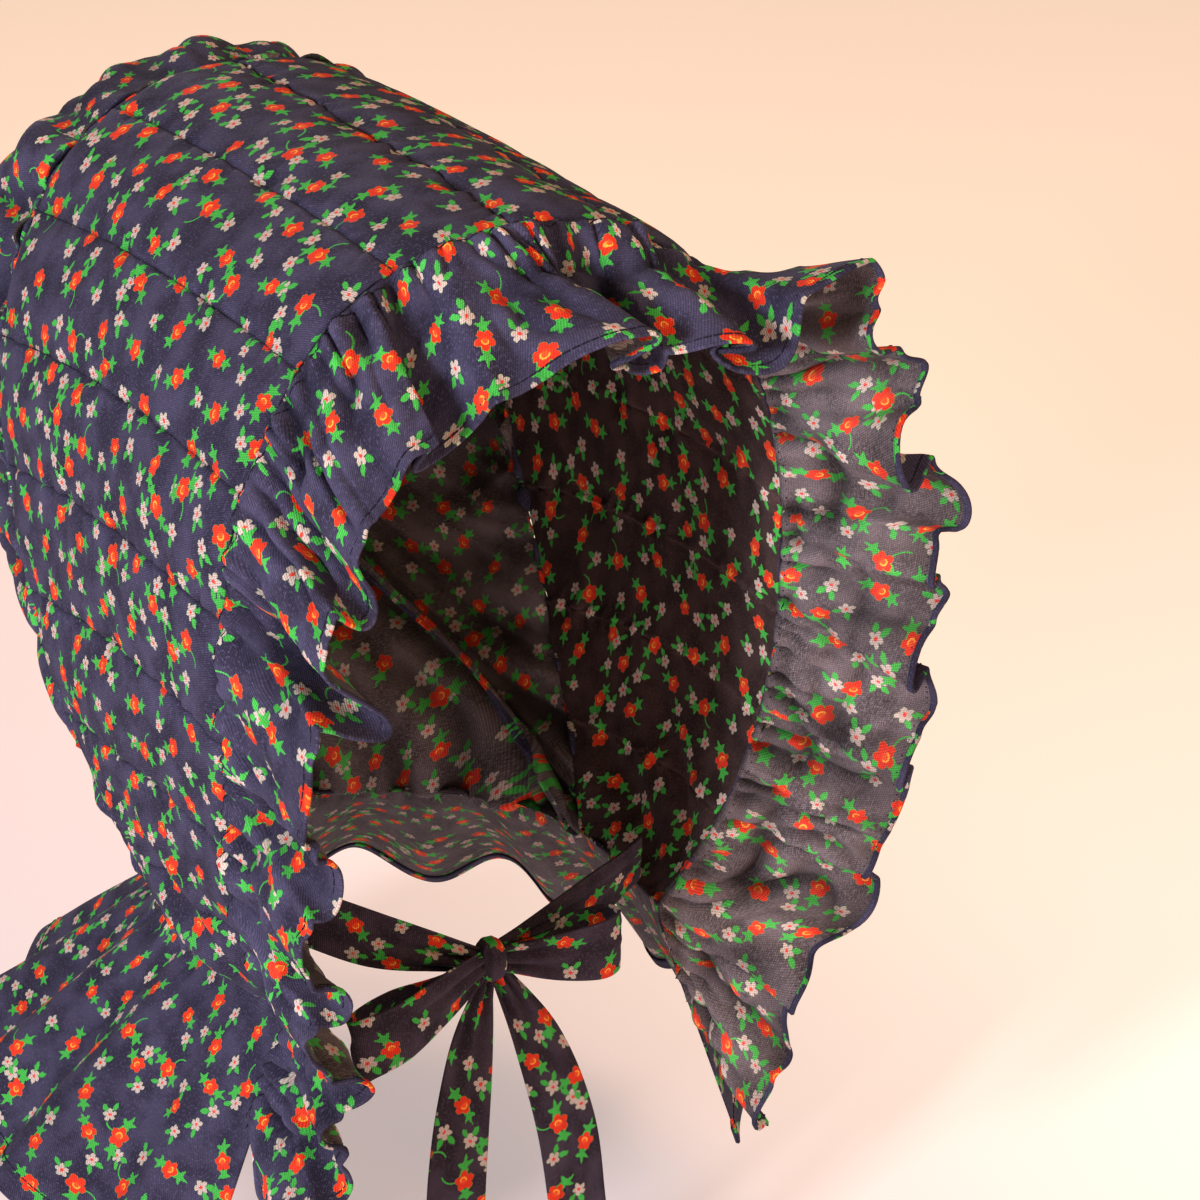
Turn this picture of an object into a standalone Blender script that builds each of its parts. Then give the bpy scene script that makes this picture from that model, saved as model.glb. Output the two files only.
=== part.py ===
"""Prairie bonnet: quilted brim, gathered ruffle, puffed crown, neck curtain, chin ties and bow.

The bonnet faces -Y and the wearer's left is +X. The origin is where the crown of the head
touches the lining. Sizes in the tables are millimetres from the top of the front seam.
"""
import math

import bmesh
import bpy
import numpy as np

MM = 0.001

# Where the head touches the lining, measured from the top of the front seam.
SEAT_FROM_SEAM_TOP = (0.0, 0.0, -9.0)

# Cloth walls.
BRIM_WALL = 2.6
CROWN_WALL = 1.4
CURTAIN_WALL = 1.3
RUFFLE_WALL = 1.1
TIE_WALL = 1.2
SEAM_GAP = 0.55
CURTAIN_GAP = 0.85

# Brim, one row for each horseshoe section from the front seam back to the crown seam.
BRIM_COLUMNS = ("ridge_y", "side_y", "corner_y", "ridge_z", "wide_z", "corner_z",
                "half_width", "corner_x")
BRIM_SECTIONS = (
    (-130.0, -130.0, -104.0, 0.0, -122.0, -252.0, 95.0, 66.0),
    (-66.0, -71.0, -84.0, 2.0, -121.0, -253.5, 95.5, 69.0),
    (-1.0, -13.0, -63.0, 3.0, -119.0, -254.5, 95.0, 72.0),
    (62.0, 44.0, -42.0, 1.0, -117.0, -255.0, 92.0, 73.0),
)
ARCH_POWER = 2.2
ARCH_SWEEP = 2.0
LEG_POWER = 3.2
LEG_SWEEP = 1.6
SECTION_SAMPLES = 240
CHANNELS = 16
COLUMNS_PER_CHANNEL = 3
BRIM_ROWS = 9
CHANNEL_PUFF = 1.0
PUFF_FADE = 0.125

# Soft folds pulled towards the chin ties: where each starts and ends on the brim.
DRAG_COLUMNS = ("side", "start_s", "start_u", "end_s", "end_u", "height", "width")
DRAG_FOLDS = (
    (-1.0, 0.02, 0.96, 0.55, 0.78, 3.2, 0.030),
    (-1.0, 0.05, 0.99, 0.80, 0.90, 3.6, 0.028),
    (-1.0, 0.30, 0.99, 0.90, 0.80, 2.6, 0.034),
    (1.0, 0.02, 0.96, 0.50, 0.80, 3.0, 0.030),
    (1.0, 0.08, 0.99, 0.80, 0.90, 3.2, 0.030),
)

DRAG_ENDS = 0.7

# Neckline round the nape, half of it from the brim's rear corner to the centre back.
NAPE_HALF = (
    (73.0, -42.0, -255.0),
    (70.0, -12.0, -259.0),
    (56.0, 18.0, -263.0),
    (31.0, 40.0, -265.0),
    (0.0, 48.0, -265.0),
)

# Crown.
CROWN_POLE = (0.0, 124.0, -112.0)
CROWN_ARCH_COLUMNS = 66
CROWN_NAPE_COLUMNS = 24
CROWN_RINGS = 6
CROWN_LEAD = 3.0
LEAD_FROM = 0.97
CROWN_PUFF_OUT = 0.30
CROWN_PUFF_LOW = -0.10
CROWN_LOW_Z = (-95.0, -190.0)
CROWN_PUFF_BACK = 62.0
NAPE_RISE = (0.30, 0.95)
NAPE_RISE_REACH = 66.0
CROWN_POLE_REACH = 0.62
RING_SMOOTHING = 3
CORNER_BLEND = 13
CROWN_GATHERS = 30
CROWN_GATHER_HEIGHT = 2.4
GATHER_FADE = 0.55

# Ruffle, one row for each place along the front edge from the wearer's right to the left.
RUFFLE_WIDTH = 52.0
RUFFLE_LEAD = 2.0
RUFFLE_ROWS = 3
RUFFLE_COLUMNS = 192
PATH_OVERSAMPLE = 4
PATH_SMOOTHING = 9
RUFFLE_TAIL = (
    (68.5, -103.6, -259.0),
    (74.0, -102.8, -275.0),
    (81.0, -101.8, -294.0),
)
RUFFLE_LIE_COLUMNS = ("place", "forward", "outward", "down")
RUFFLE_LIE = (
    (-1.00, 0.80, 0.20, 0.45),
    (-0.75, 0.97, 0.00, 0.22),
    (-0.50, 0.97, -0.12, 0.22),
    (-0.25, 0.84, -0.10, 0.48),
    (0.00, 0.60, 0.00, 0.74),
    (0.12, 0.66, 0.00, 0.62),
    (0.21, 0.84, 0.44, 0.04),
    (0.34, 0.84, 0.54, 0.00),
    (0.55, 0.80, 0.58, 0.05),
    (0.78, 0.55, 0.82, 0.05),
    (1.00, 0.45, 0.72, 0.45),
)
FOLD_PITCH = 24.5
PITCH_SWAY_COLUMNS = ("share", "rate", "start")
PITCH_SWAYS = (
    (0.16, 1.9, 0.0),
    (0.08, 4.3, 1.0),
)
FOLD_HEIGHT = 7.2
HEIGHT_SWAY_COLUMNS = ("share", "rate", "start")
HEIGHT_SWAY = (0.26, 2.3, 0.6)
FOLD_GROWTH = 0.8
FOLD_LEAN = 0.34

# Neck curtain.
CURTAIN_LENGTH = 112.0
CURTAIN_COLUMNS = 88
CURTAIN_ROWS = 4
CURTAIN_LEAD = 2.5
CURTAIN_SPREAD_BACK = 50.0
CURTAIN_SPREAD_FRONT = 20.0
SPREAD_FADE = 3.0
CURTAIN_FRONT_SWING = 82.0
SWING_GROWTH = 0.8
EDGE_FADE = 8.0
CURTAIN_FRONT_SETBACK = 0.6
CURTAIN_FOLDS = 11
CURTAIN_FOLD_HEIGHT = 6.5

# Chin ties: centre line (x, y, z), ribbon width and outward lean at each station.
TIE_COLUMNS = ("x", "y", "z", "width", "lean")
TIE_RIGHT = (
    (-73.2, -87.2, -222.0, 21.0, -0.42),
    (-57.0, -95.0, -233.0, 20.0, -0.30),
    (-34.0, -103.0, -243.0, 17.0, -0.10),
    (-8.4, -110.0, -250.0, 11.0, 0.0),
)
TIE_LEFT = (
    (65.3, -94.5, -239.0, 21.0, 0.62),
    (49.0, -100.0, -243.0, 19.0, 0.40),
    (28.0, -104.5, -247.0, 15.0, 0.15),
    (7.4, -109.0, -250.0, 11.0, 0.0),
)
LOOP_LEFT = (
    (7.4, -113.6, -250.5, 11.0, 0.0),
    (20.0, -121.0, -250.0, 17.0, 0.0),
    (34.0, -124.5, -250.0, 21.0, 0.0),
    (42.5, -120.5, -250.0, 21.0, 0.0),
    (40.0, -114.5, -250.0, 21.0, 0.0),
    (29.0, -112.0, -250.0, 18.0, 0.0),
    (18.0, -114.0, -250.0, 13.0, 0.0),
    (7.6, -111.7, -250.5, 8.0, 0.0),
)
LOOP_RIGHT = (
    (-8.2, -113.9, -251.0, 11.0, 0.0),
    (-20.0, -120.5, -253.0, 17.0, 0.0),
    (-38.0, -125.0, -258.0, 21.0, 0.0),
    (-52.0, -121.5, -263.0, 21.0, 0.0),
    (-50.0, -114.5, -264.0, 21.0, 0.0),
    (-36.0, -112.5, -260.0, 19.0, 0.0),
    (-20.0, -114.5, -255.0, 14.0, 0.0),
    (-8.2, -112.1, -251.0, 8.0, 0.0),
)
TAIL_RIGHT = (
    (-4.0, -112.0, -259.5, 7.0, 0.0),
    (-12.0, -118.0, -281.0, 17.0, 0.0),
    (-19.0, -122.0, -318.0, 21.0, 0.0),
    (-20.0, -121.0, -355.0, 21.0, 0.0),
    (-24.0, -124.0, -392.0, 21.0, 0.0),
)
TAIL_LEFT = (
    (4.0, -112.0, -259.5, 7.0, 0.0),
    (13.0, -118.0, -280.0, 17.0, 0.0),
    (22.0, -121.0, -314.0, 21.0, 0.0),
    (25.0, -124.0, -350.0, 21.0, 0.0),
    (31.0, -122.0, -384.0, 21.0, 0.0),
)
TIE_WIDTH = 21.0
TIE_ALONG = 12
LOOP_ALONG = 22
TIE_ACROSS = 3
TIE_CREASE = 1.0
TAIL_ALONG = 16

RIBBON_COLUMNS = ("name", "stations", "steps_along", "hanging")
RIBBONS = (
    ("tie_right", TIE_RIGHT, TIE_ALONG, False),
    ("tie_left", TIE_LEFT, TIE_ALONG, False),
    ("bow_loop_right", LOOP_RIGHT, LOOP_ALONG, False),
    ("bow_loop_left", LOOP_LEFT, LOOP_ALONG, False),
    ("tie_tail_right", TAIL_RIGHT, TAIL_ALONG, True),
    ("tie_tail_left", TAIL_LEFT, TAIL_ALONG, True),
)

# Bow knot.
KNOT_CENTRE = (0.0, -111.0, -250.0)
KNOT_SIZE = (14.0, 13.0, 20.0)
KNOT_SQUARENESS = 0.8
KNOT_PINCH = 0.05
KNOT_PLEATS = 6
KNOT_SEGMENTS = 16
KNOT_RINGS = 10

# Plain cloth finishes.
CLOTH_COLOURS = (
    ("quilted_calico", (0.034, 0.032, 0.098)),
    ("ruffle_calico", (0.040, 0.038, 0.105)),
    ("crown_calico", (0.034, 0.032, 0.098)),
    ("curtain_calico", (0.036, 0.034, 0.100)),
    ("tie_calico", (0.030, 0.028, 0.085)),
)
CLOTH_ROUGHNESS = 0.85


def smooth_line(points, places):
    """Points at places from 0 to 1 on a Catmull-Rom curve through the given points."""
    points = np.array(points, float)
    ends = np.vstack([2.0 * points[0] - points[1], points, 2.0 * points[-1] - points[-2]])
    spans = len(points) - 1
    result = []
    for place in places:
        travel = min(max(place, 0.0), 1.0) * spans
        span = min(int(travel), spans - 1)
        t = travel - span
        before, start, end, after = ends[span:span + 4]
        result.append(0.5 * (2.0 * start + (end - before) * t
                             + (2.0 * before - 5.0 * start + 4.0 * end - after) * t * t
                             + (3.0 * start - before - 3.0 * end + after) * t ** 3))
    return np.array(result)


def even_line(points, count):
    """The same line with count + 1 points at even distances along it."""
    steps = np.linalg.norm(np.diff(points, axis=0), axis=1)
    travelled = np.concatenate([[0.0], np.cumsum(steps)])
    wanted = np.linspace(0.0, travelled[-1], count + 1)
    return np.array([np.interp(wanted, travelled, axis) for axis in points.T]).T


def unit(vectors):
    """Vectors of length one."""
    return vectors / np.maximum(np.linalg.norm(vectors, axis=-1, keepdims=True), 1e-9)


def horseshoe(place, count):
    """One brim section, from the right corner over the ridge to the left corner."""
    row = dict(zip(BRIM_COLUMNS, smooth_line(BRIM_SECTIONS, [place])[0]))
    half = []
    for step in np.linspace(0.0, 1.0, SECTION_SAMPLES):
        angle = step * math.pi / 2.0
        reach = math.sin(angle) ** (2.0 / ARCH_POWER)
        rise = max(0.0, math.cos(angle)) ** (2.0 / ARCH_POWER)
        half.append((row["half_width"] * reach,
                     row["ridge_y"] + (row["side_y"] - row["ridge_y"]) * (1.0 - rise) ** ARCH_SWEEP,
                     row["wide_z"] + (row["ridge_z"] - row["wide_z"]) * rise))
    for step in np.linspace(0.0, 1.0, SECTION_SAMPLES)[1:]:
        half.append((row["half_width"] + (row["corner_x"] - row["half_width"]) * step ** LEG_POWER,
                     row["side_y"] + (row["corner_y"] - row["side_y"]) * step ** LEG_SWEEP,
                     row["wide_z"] + (row["corner_z"] - row["wide_z"]) * step))
    half = np.array(half)
    mirrored = half[:0:-1] * np.array([-1.0, 1.0, 1.0])
    return even_line(np.vstack([mirrored, half]), count)


def grid_normals(grid, closed=False):
    """Normals of a grid of points, across rows and columns."""
    if closed:
        around = np.roll(grid, -1, axis=1) - np.roll(grid, 1, axis=1)
    else:
        around = np.gradient(grid, axis=1)
    along = np.gradient(grid, axis=0)
    return unit(np.cross(along, around))


def drag_height(side, place, across):
    """Height of the soft pulled folds at one point of the brim."""
    total = 0.0
    for row in DRAG_FOLDS:
        fold = dict(zip(DRAG_COLUMNS, row))
        if fold["side"] != side:
            continue
        run = (place - fold["start_s"]) / (fold["end_s"] - fold["start_s"])
        if run < 0.0 or run > 1.0:
            continue
        centre = fold["start_u"] + (fold["end_u"] - fold["start_u"]) * run
        shape = math.exp(-((across - centre) / fold["width"]) ** 2)
        total += fold["height"] * shape * math.sin(math.pi * run) ** DRAG_ENDS
    return total


def brim_grid():
    """The brim's middle surface with its quilted channels."""
    count = CHANNELS * COLUMNS_PER_CHANNEL
    places = np.linspace(0.0, 1.0, BRIM_ROWS + 1)
    grid = np.array([horseshoe(place, count) for place in places])
    normals = grid_normals(grid)
    for row, place in enumerate(places):
        for column in range(count + 1):
            across = 2.0 * column / count - 1.0
            puff = CHANNEL_PUFF * abs(math.sin(math.pi * column / COLUMNS_PER_CHANNEL))
            for distance in (place, 1.0 - place):
                puff *= math.sin(math.pi / 2.0 * min(1.0, distance / PUFF_FADE))
            rise = puff + drag_height(math.copysign(1.0, across), place, abs(across))
            grid[row, column] += normals[row, column] * rise
    return grid


def crown_loop():
    """The crown's outer edge: the brim's rear edge, then the neckline round the nape."""
    arch = horseshoe(1.0, CROWN_ARCH_COLUMNS)
    arch_lead = unit(arch - horseshoe(LEAD_FROM, CROWN_ARCH_COLUMNS))
    half = np.array(NAPE_HALF)
    nape = np.vstack([half, half[-2::-1] * np.array([-1.0, 1.0, 1.0])])
    nape = even_line(smooth_line(nape, np.linspace(0.0, 1.0, SECTION_SAMPLES)),
                     CROWN_NAPE_COLUMNS)[1:-1]
    outward = unit(nape * np.array([1.0, 1.0, 0.0]))
    nape_lead = np.tile([0.0, 0.0, 1.0], (len(nape), 1))
    edge = np.vstack([arch + arch_lead * SEAM_GAP, nape])
    lead = np.vstack([arch_lead, nape_lead])
    rise = np.vstack([np.zeros_like(arch), outward])
    return edge, lead, rise


def crown_rings():
    """The crown's middle surface in rings from its edge to the ring before the pole."""
    edge, lead, rise = crown_loop()
    pole = np.array(CROWN_POLE)
    count = len(edge)
    flat = np.array([1.0, 0.0, 1.0])
    radial = (edge - pole) * flat
    spread = unit(radial)
    start = edge + lead * CROWN_LEAD
    on_nape = np.linalg.norm(rise, axis=1)
    low = np.clip((edge[:, 2:3] - CROWN_LOW_Z[0]) / (CROWN_LOW_Z[1] - CROWN_LOW_Z[0]), 0.0, 1.0)
    puff = CROWN_PUFF_OUT + (CROWN_PUFF_LOW - CROWN_PUFF_OUT) * low
    arch_pull = unit(lead + spread * puff) * CROWN_PUFF_BACK
    nape_pull = (rise * NAPE_RISE[0] + lead * NAPE_RISE[1]) * NAPE_RISE_REACH
    window = np.ones(CORNER_BLEND) / CORNER_BLEND
    blend = np.convolve(np.tile(on_nape, 3), window, "same")[count:2 * count, None]
    pull = arch_pull * (1.0 - blend) + nape_pull * blend
    rings = [edge]
    for ring in range(CROWN_RINGS):
        t = ring / CROWN_RINGS
        near_pole = pole + spread * np.linalg.norm(radial, axis=1, keepdims=True) * CROWN_POLE_REACH
        points = ((1.0 - t) ** 3 * start + 3.0 * (1.0 - t) ** 2 * t * (start + pull)
                  + 3.0 * (1.0 - t) * t * t * near_pole + t ** 3 * pole)
        rings.append(points)
    rings = np.array(rings)
    for ring in range(2, len(rings)):
        for _ in range(RING_SMOOTHING * ring):
            beside = np.roll(rings[ring], 1, axis=0) + np.roll(rings[ring], -1, axis=0)
            rings[ring] = 0.5 * rings[ring] + 0.25 * beside
    normals = grid_normals(rings, closed=True)
    phase = np.arange(count) * 2.0 * math.pi * CROWN_GATHERS / count
    for ring in range(2, len(rings)):
        t = (ring - 1) / CROWN_RINGS
        height = CROWN_GATHER_HEIGHT * math.sin(math.pi * t ** GATHER_FADE)
        rings[ring] += normals[ring] * (height * np.sin(phase))[:, None]
    return rings


def ruffle_path():
    """The line that the ruffle is sewn on, from the right tail over the ridge to the left."""
    seam = horseshoe(0.0, SECTION_SAMPLES)
    tail = np.array(RUFFLE_TAIL)
    line = np.vstack([tail[::-1] * np.array([-1.0, 1.0, 1.0]), seam, tail])
    line = even_line(line, RUFFLE_COLUMNS * PATH_OVERSAMPLE)
    reach = PATH_SMOOTHING // 2
    kernel = np.ones(PATH_SMOOTHING) / PATH_SMOOTHING
    padded = np.pad(line, ((reach, reach), (0, 0)), "edge")
    line = np.array([np.convolve(axis, kernel, "valid") for axis in padded.T]).T
    return even_line(line, RUFFLE_COLUMNS)


def ruffle_frames(path):
    """Tangent, forward and outward directions along the ruffle's seam."""
    tangent = unit(np.gradient(path, axis=0))
    ahead = np.array([0.0, -1.0, 0.0])
    forward = unit(ahead - tangent * (tangent @ ahead)[:, None])
    return tangent, forward, unit(np.cross(forward, tangent))


def fold_phase(travel):
    """Phase of the ruffle's folds after a length of seam, with uneven pitch."""
    count = travel / FOLD_PITCH
    sway = sum(share * math.sin(rate * count + start) for share, rate, start in PITCH_SWAYS)
    return 2.0 * math.pi * (count + sway)


def fold_height(travel):
    """Height of the ruffle's fold at its free edge after a length of seam."""
    share, rate, start = HEIGHT_SWAY
    return FOLD_HEIGHT * (1.0 + share * math.sin(rate * travel / FOLD_PITCH + start))


def ruffle_grid():
    """The ruffle's middle surface from its seam to its free edge."""
    path = ruffle_path()
    tangent, forward, outward = ruffle_frames(path)
    travelled = np.concatenate([[0.0], np.cumsum(np.linalg.norm(np.diff(path, axis=0), axis=1))])
    places = np.linspace(-1.0, 1.0, len(path))
    lie = np.array(RUFFLE_LIE).T
    ahead, aside, down = (np.interp(places, lie[0], column)[:, None] for column in lie[1:])
    reach = unit(ahead * forward + aside * outward + down * np.array([0.0, 0.0, -1.0]))
    across = unit(np.cross(reach, tangent))
    phase = np.array([fold_phase(travel) for travel in travelled])[:, None]
    height = np.array([fold_height(travel) for travel in travelled])[:, None]
    rows = [path + forward * SEAM_GAP]
    for row in range(RUFFLE_ROWS + 1):
        share = row / RUFFLE_ROWS
        size = height * share ** FOLD_GROWTH
        line = rows[0] + forward * RUFFLE_LEAD + reach * (RUFFLE_WIDTH - RUFFLE_LEAD) * share
        line = line + across * size * np.sin(phase)
        rows.append(line + tangent * size * FOLD_LEAN * np.sin(2.0 * phase))
    return np.array(rows)


def neck_line(count):
    """The neckline from the right front corner round the nape to the left front corner."""
    places = np.linspace(0.0, 1.0, BRIM_ROWS)
    sweep = np.array([horseshoe(place, SECTION_SAMPLES)[-1] for place in places])
    half = np.vstack([sweep[:-1], np.array(NAPE_HALF)])
    line = np.vstack([half * np.array([-1.0, 1.0, 1.0]), half[-2::-1]])
    return even_line(smooth_line(line, np.linspace(0.0, 1.0, SECTION_SAMPLES)), count)


def curtain_grid():
    """The neck curtain's middle surface from the neckline to its hem."""
    top = neck_line(CURTAIN_COLUMNS)
    places = np.linspace(-1.0, 1.0, CURTAIN_COLUMNS + 1)
    turn = np.sign(places) * np.abs(places) ** SWING_GROWTH
    swing = np.radians(CURTAIN_FRONT_SWING) * turn
    outward = np.stack([np.sin(swing), np.cos(swing), np.zeros_like(swing)], axis=1)
    top[:, 1] += CURTAIN_FRONT_SETBACK * np.abs(places) ** EDGE_FADE
    upright = np.array([0.0, 0.0, 1.0])
    spread = CURTAIN_SPREAD_BACK - CURTAIN_SPREAD_FRONT
    angle = CURTAIN_SPREAD_FRONT + spread * (1.0 - np.abs(places) ** SPREAD_FADE)
    angle = np.radians(angle)[:, None]
    reach = outward * np.sin(angle) - upright * np.cos(angle)
    across = outward * np.cos(angle) + upright * np.sin(angle)
    wave = np.cos(math.pi * CURTAIN_FOLDS * places) * (1.0 - np.abs(places) ** EDGE_FADE)
    rows = [top - upright * CURTAIN_GAP]
    for row in range(CURTAIN_ROWS + 1):
        share = row / CURTAIN_ROWS
        line = rows[0] - upright * CURTAIN_LEAD + reach * (CURTAIN_LENGTH - CURTAIN_LEAD) * share
        height = CURTAIN_FOLD_HEIGHT * share ** FOLD_GROWTH
        rows.append(line + across * height * wave[:, None])
    return np.array(rows)


def ribbon_grid(stations, along, hanging=False):
    """A tie's middle surface, held upright or hanging, creased where the knot gathers it."""
    line = smooth_line(stations, np.linspace(0.0, 1.0, along + 1))
    centre = line[:, :3]
    tangent = unit(np.gradient(centre, axis=0))
    across = np.array([[1.0, 0.0, 0.0] if hanging else [lean, 0.0, 1.0] for lean in line[:, 4]])
    across = unit(across - tangent * np.sum(across * tangent, axis=1, keepdims=True))
    facing = unit(np.cross(tangent, across))
    grid = []
    for row in range(along + 1):
        width = line[row, 3]
        crease = TIE_CREASE * (1.0 - width / TIE_WIDTH)
        grid.append([centre[row] + across[row] * width * (step / TIE_ACROSS - 0.5)
                     + facing[row] * crease * (-1.0) ** step
                     for step in range(TIE_ACROSS + 1)])
    return np.array(grid)


def material(name, colour):
    """A plain cloth finish."""
    finish = bpy.data.materials.new(name)
    finish.use_nodes = True
    shader = finish.node_tree.nodes["Principled BSDF"]
    shader.inputs["Base Color"].default_value = (*colour, 1.0)
    shader.inputs["Roughness"].default_value = CLOTH_ROUGHNESS
    return finish


def to_frame(points):
    """Table millimetres to metres from the head seat."""
    return (np.array(points, float) - np.array(SEAT_FROM_SEAM_TOP)) * MM


def cloth(name, grid, wall, finish, home, pole=None):
    """One cloth piece thickened evenly to its wall, closed round its pole where it has one."""
    mesh = bmesh.new()
    grid = to_frame(grid)
    rows = [[mesh.verts.new(point) for point in line] for line in grid]
    count = len(rows[0])
    spans = count - 1 if pole is None else count
    for upper, lower in zip(rows[:-1], rows[1:]):
        for column in range(spans):
            right = (column + 1) % count
            mesh.faces.new((upper[column], upper[right], lower[right], lower[column]))
    if pole is not None:
        tip = mesh.verts.new(to_frame(pole))
        for column in range(spans):
            mesh.faces.new((rows[-1][column], rows[-1][(column + 1) % count], tip))
    bmesh.ops.recalc_face_normals(mesh, faces=mesh.faces)
    piece = place_mesh(name, mesh, finish, home)
    shell = piece.modifiers.new("wall", "SOLIDIFY")
    shell.thickness = wall * MM
    shell.offset = 0.0
    shell.use_even_offset = False
    return piece


def place_mesh(name, mesh, finish, home):
    """Put a mesh in the bonnet's collection under its piece's name."""
    data = bpy.data.meshes.new(name)
    mesh.to_mesh(data)
    mesh.free()
    data.materials.append(finish)
    piece = bpy.data.objects.new(name, data)
    home.objects.link(piece)
    return piece


def knot(finish, home):
    """The wrapped bow knot, an upright cushion with pinched waist lines."""
    mesh = bmesh.new()
    bmesh.ops.create_uvsphere(mesh, u_segments=KNOT_SEGMENTS, v_segments=KNOT_RINGS, radius=0.5)
    centre = to_frame(KNOT_CENTRE)
    for vert in mesh.verts:
        direction = np.array(vert.co) * 2.0
        squared = np.sign(direction) * np.abs(direction) ** KNOT_SQUARENESS
        turn = math.atan2(direction[1], direction[0])
        pinch = 1.0 + KNOT_PINCH * math.cos(KNOT_PLEATS * turn)
        size = np.array(KNOT_SIZE) * 0.5 * MM
        vert.co = centre + squared * size * np.array([pinch, pinch, 1.0])
    return place_mesh("bow_knot", mesh, finish, home)


def build():
    """Model every piece of the bonnet."""
    for thing in list(bpy.data.objects):
        bpy.data.objects.remove(thing, do_unlink=True)
    home = bpy.data.collections.new("prairie_bonnet")
    bpy.context.scene.collection.children.link(home)
    finishes = {name: material(name, colour) for name, colour in CLOTH_COLOURS}
    cloth("brim", brim_grid(), BRIM_WALL, finishes["quilted_calico"], home)
    cloth("front_ruffle", ruffle_grid(), RUFFLE_WALL, finishes["ruffle_calico"], home)
    cloth("crown", crown_rings(), CROWN_WALL, finishes["crown_calico"], home, pole=CROWN_POLE)
    cloth("neck_curtain", curtain_grid(), CURTAIN_WALL, finishes["curtain_calico"], home)
    for name, stations, along, hanging in RIBBONS:
        cloth(name, ribbon_grid(stations, along, hanging), TIE_WALL, finishes["tie_calico"], home)
    knot(finishes["tie_calico"], home)


build()
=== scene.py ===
"""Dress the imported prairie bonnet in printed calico, with its quilting, gathers, hems and bow.

Shapes are worked out in millimetres from the top of the front seam, and become metres from the
head seat when a mesh is placed. The bonnet opens towards -Y, and its left side is +X.
"""
import logging
import math
from dataclasses import dataclass
from enum import Enum

import bmesh
import bpy
import numpy as np
from mathutils import Matrix, Vector


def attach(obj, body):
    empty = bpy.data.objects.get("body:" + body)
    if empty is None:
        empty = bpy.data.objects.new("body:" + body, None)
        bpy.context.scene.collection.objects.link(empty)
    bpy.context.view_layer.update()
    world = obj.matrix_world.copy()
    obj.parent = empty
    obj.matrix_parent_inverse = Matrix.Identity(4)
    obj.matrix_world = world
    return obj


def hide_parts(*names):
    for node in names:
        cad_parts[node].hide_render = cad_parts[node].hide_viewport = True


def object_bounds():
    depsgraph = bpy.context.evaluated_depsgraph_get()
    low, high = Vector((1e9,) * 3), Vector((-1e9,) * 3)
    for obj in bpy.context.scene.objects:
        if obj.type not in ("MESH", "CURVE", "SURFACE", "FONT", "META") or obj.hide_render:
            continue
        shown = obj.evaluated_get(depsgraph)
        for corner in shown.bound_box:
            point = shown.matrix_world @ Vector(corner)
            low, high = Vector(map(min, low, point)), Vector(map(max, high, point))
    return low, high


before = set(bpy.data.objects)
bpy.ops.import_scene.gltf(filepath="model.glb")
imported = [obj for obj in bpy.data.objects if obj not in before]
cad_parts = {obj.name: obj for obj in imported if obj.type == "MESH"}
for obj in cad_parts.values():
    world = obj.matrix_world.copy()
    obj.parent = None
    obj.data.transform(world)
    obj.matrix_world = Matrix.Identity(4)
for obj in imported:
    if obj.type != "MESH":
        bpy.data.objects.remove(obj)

LOG = logging.getLogger("bonnet")
CAD_BOX = [list(corner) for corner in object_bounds()]
MM = 0.001
SEAT = np.array([0.0, 0.0, -9.0])
UP = np.array([0.0, 0.0, 1.0])
AHEAD = np.array([0.0, -1.0, 0.0])
MIRROR = np.array([-1.0, 1.0, 1.0])
Points = np.ndarray
Colour = tuple[float, float, float, float]


class Slot(Enum):
    """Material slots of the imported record."""

    QUILTED = "quilted_calico"
    RUFFLE = "ruffle_calico"
    CROWN = "crown_calico"
    CURTAIN = "curtain_calico"
    TIE = "tie_calico"


class Face(Enum):
    """Which face of the printed cloth shows."""

    RIGHT = "right"
    WRONG = "wrong"
    LINING = "lining"


class Held(Enum):
    """How a sheet of cloth is held."""

    GATHERED = "gathered"
    HUNG = "hung"


def unit(vectors: Points) -> Points:
    """Scale vectors to length one.

    Args:
        vectors: Vectors along the last axis.

    Returns:
        The same vectors at length one.
    """
    return vectors / np.maximum(np.linalg.norm(vectors, axis=-1, keepdims=True), 1e-9)


def smooth_line(points: Points, places: Points) -> Points:
    """Follow a smooth curve through points, or a smooth sheet through rows of points.

    Args:
        points: Control points or rows along the first axis.
        places: Places from 0 to 1 along that axis.

    Returns:
        The curve's points or rows at those places.
    """
    points = np.asarray(points, float)
    ends = np.concatenate([2.0 * points[:1] - points[1:2], points, 2.0 * points[-1:] - points[-2:-1]])
    travel = np.clip(places, 0.0, 1.0) * (len(points) - 1)
    span = np.minimum(travel.astype(int), len(points) - 2)
    t = (travel - span).reshape((-1,) + (1,) * (points.ndim - 1))
    before, start, end, after = (ends[span + step] for step in range(4))
    return 0.5 * (2.0 * start + (end - before) * t
                  + (2.0 * before - 5.0 * start + 4.0 * end - after) * t ** 2
                  + (3.0 * start - before - 3.0 * end + after) * t ** 3)


def lengths_along(line: Points) -> Points:
    """Distance travelled at each point of a line.

    Args:
        line: Points along the first axis.

    Returns:
        One length for each point, from zero.
    """
    steps = np.linalg.norm(np.diff(line, axis=0), axis=-1)
    return np.concatenate([[0.0], np.cumsum(steps)])


def spaced_line(points: Points, shares: Points) -> Points:
    """Points at wanted shares of a line's length.

    Args:
        points: The line.
        shares: Shares of its length, from 0 to 1.

    Returns:
        One point for each share.
    """
    travelled = lengths_along(points)
    return np.array([np.interp(shares * travelled[-1], travelled, axis) for axis in points.T]).T


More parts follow.
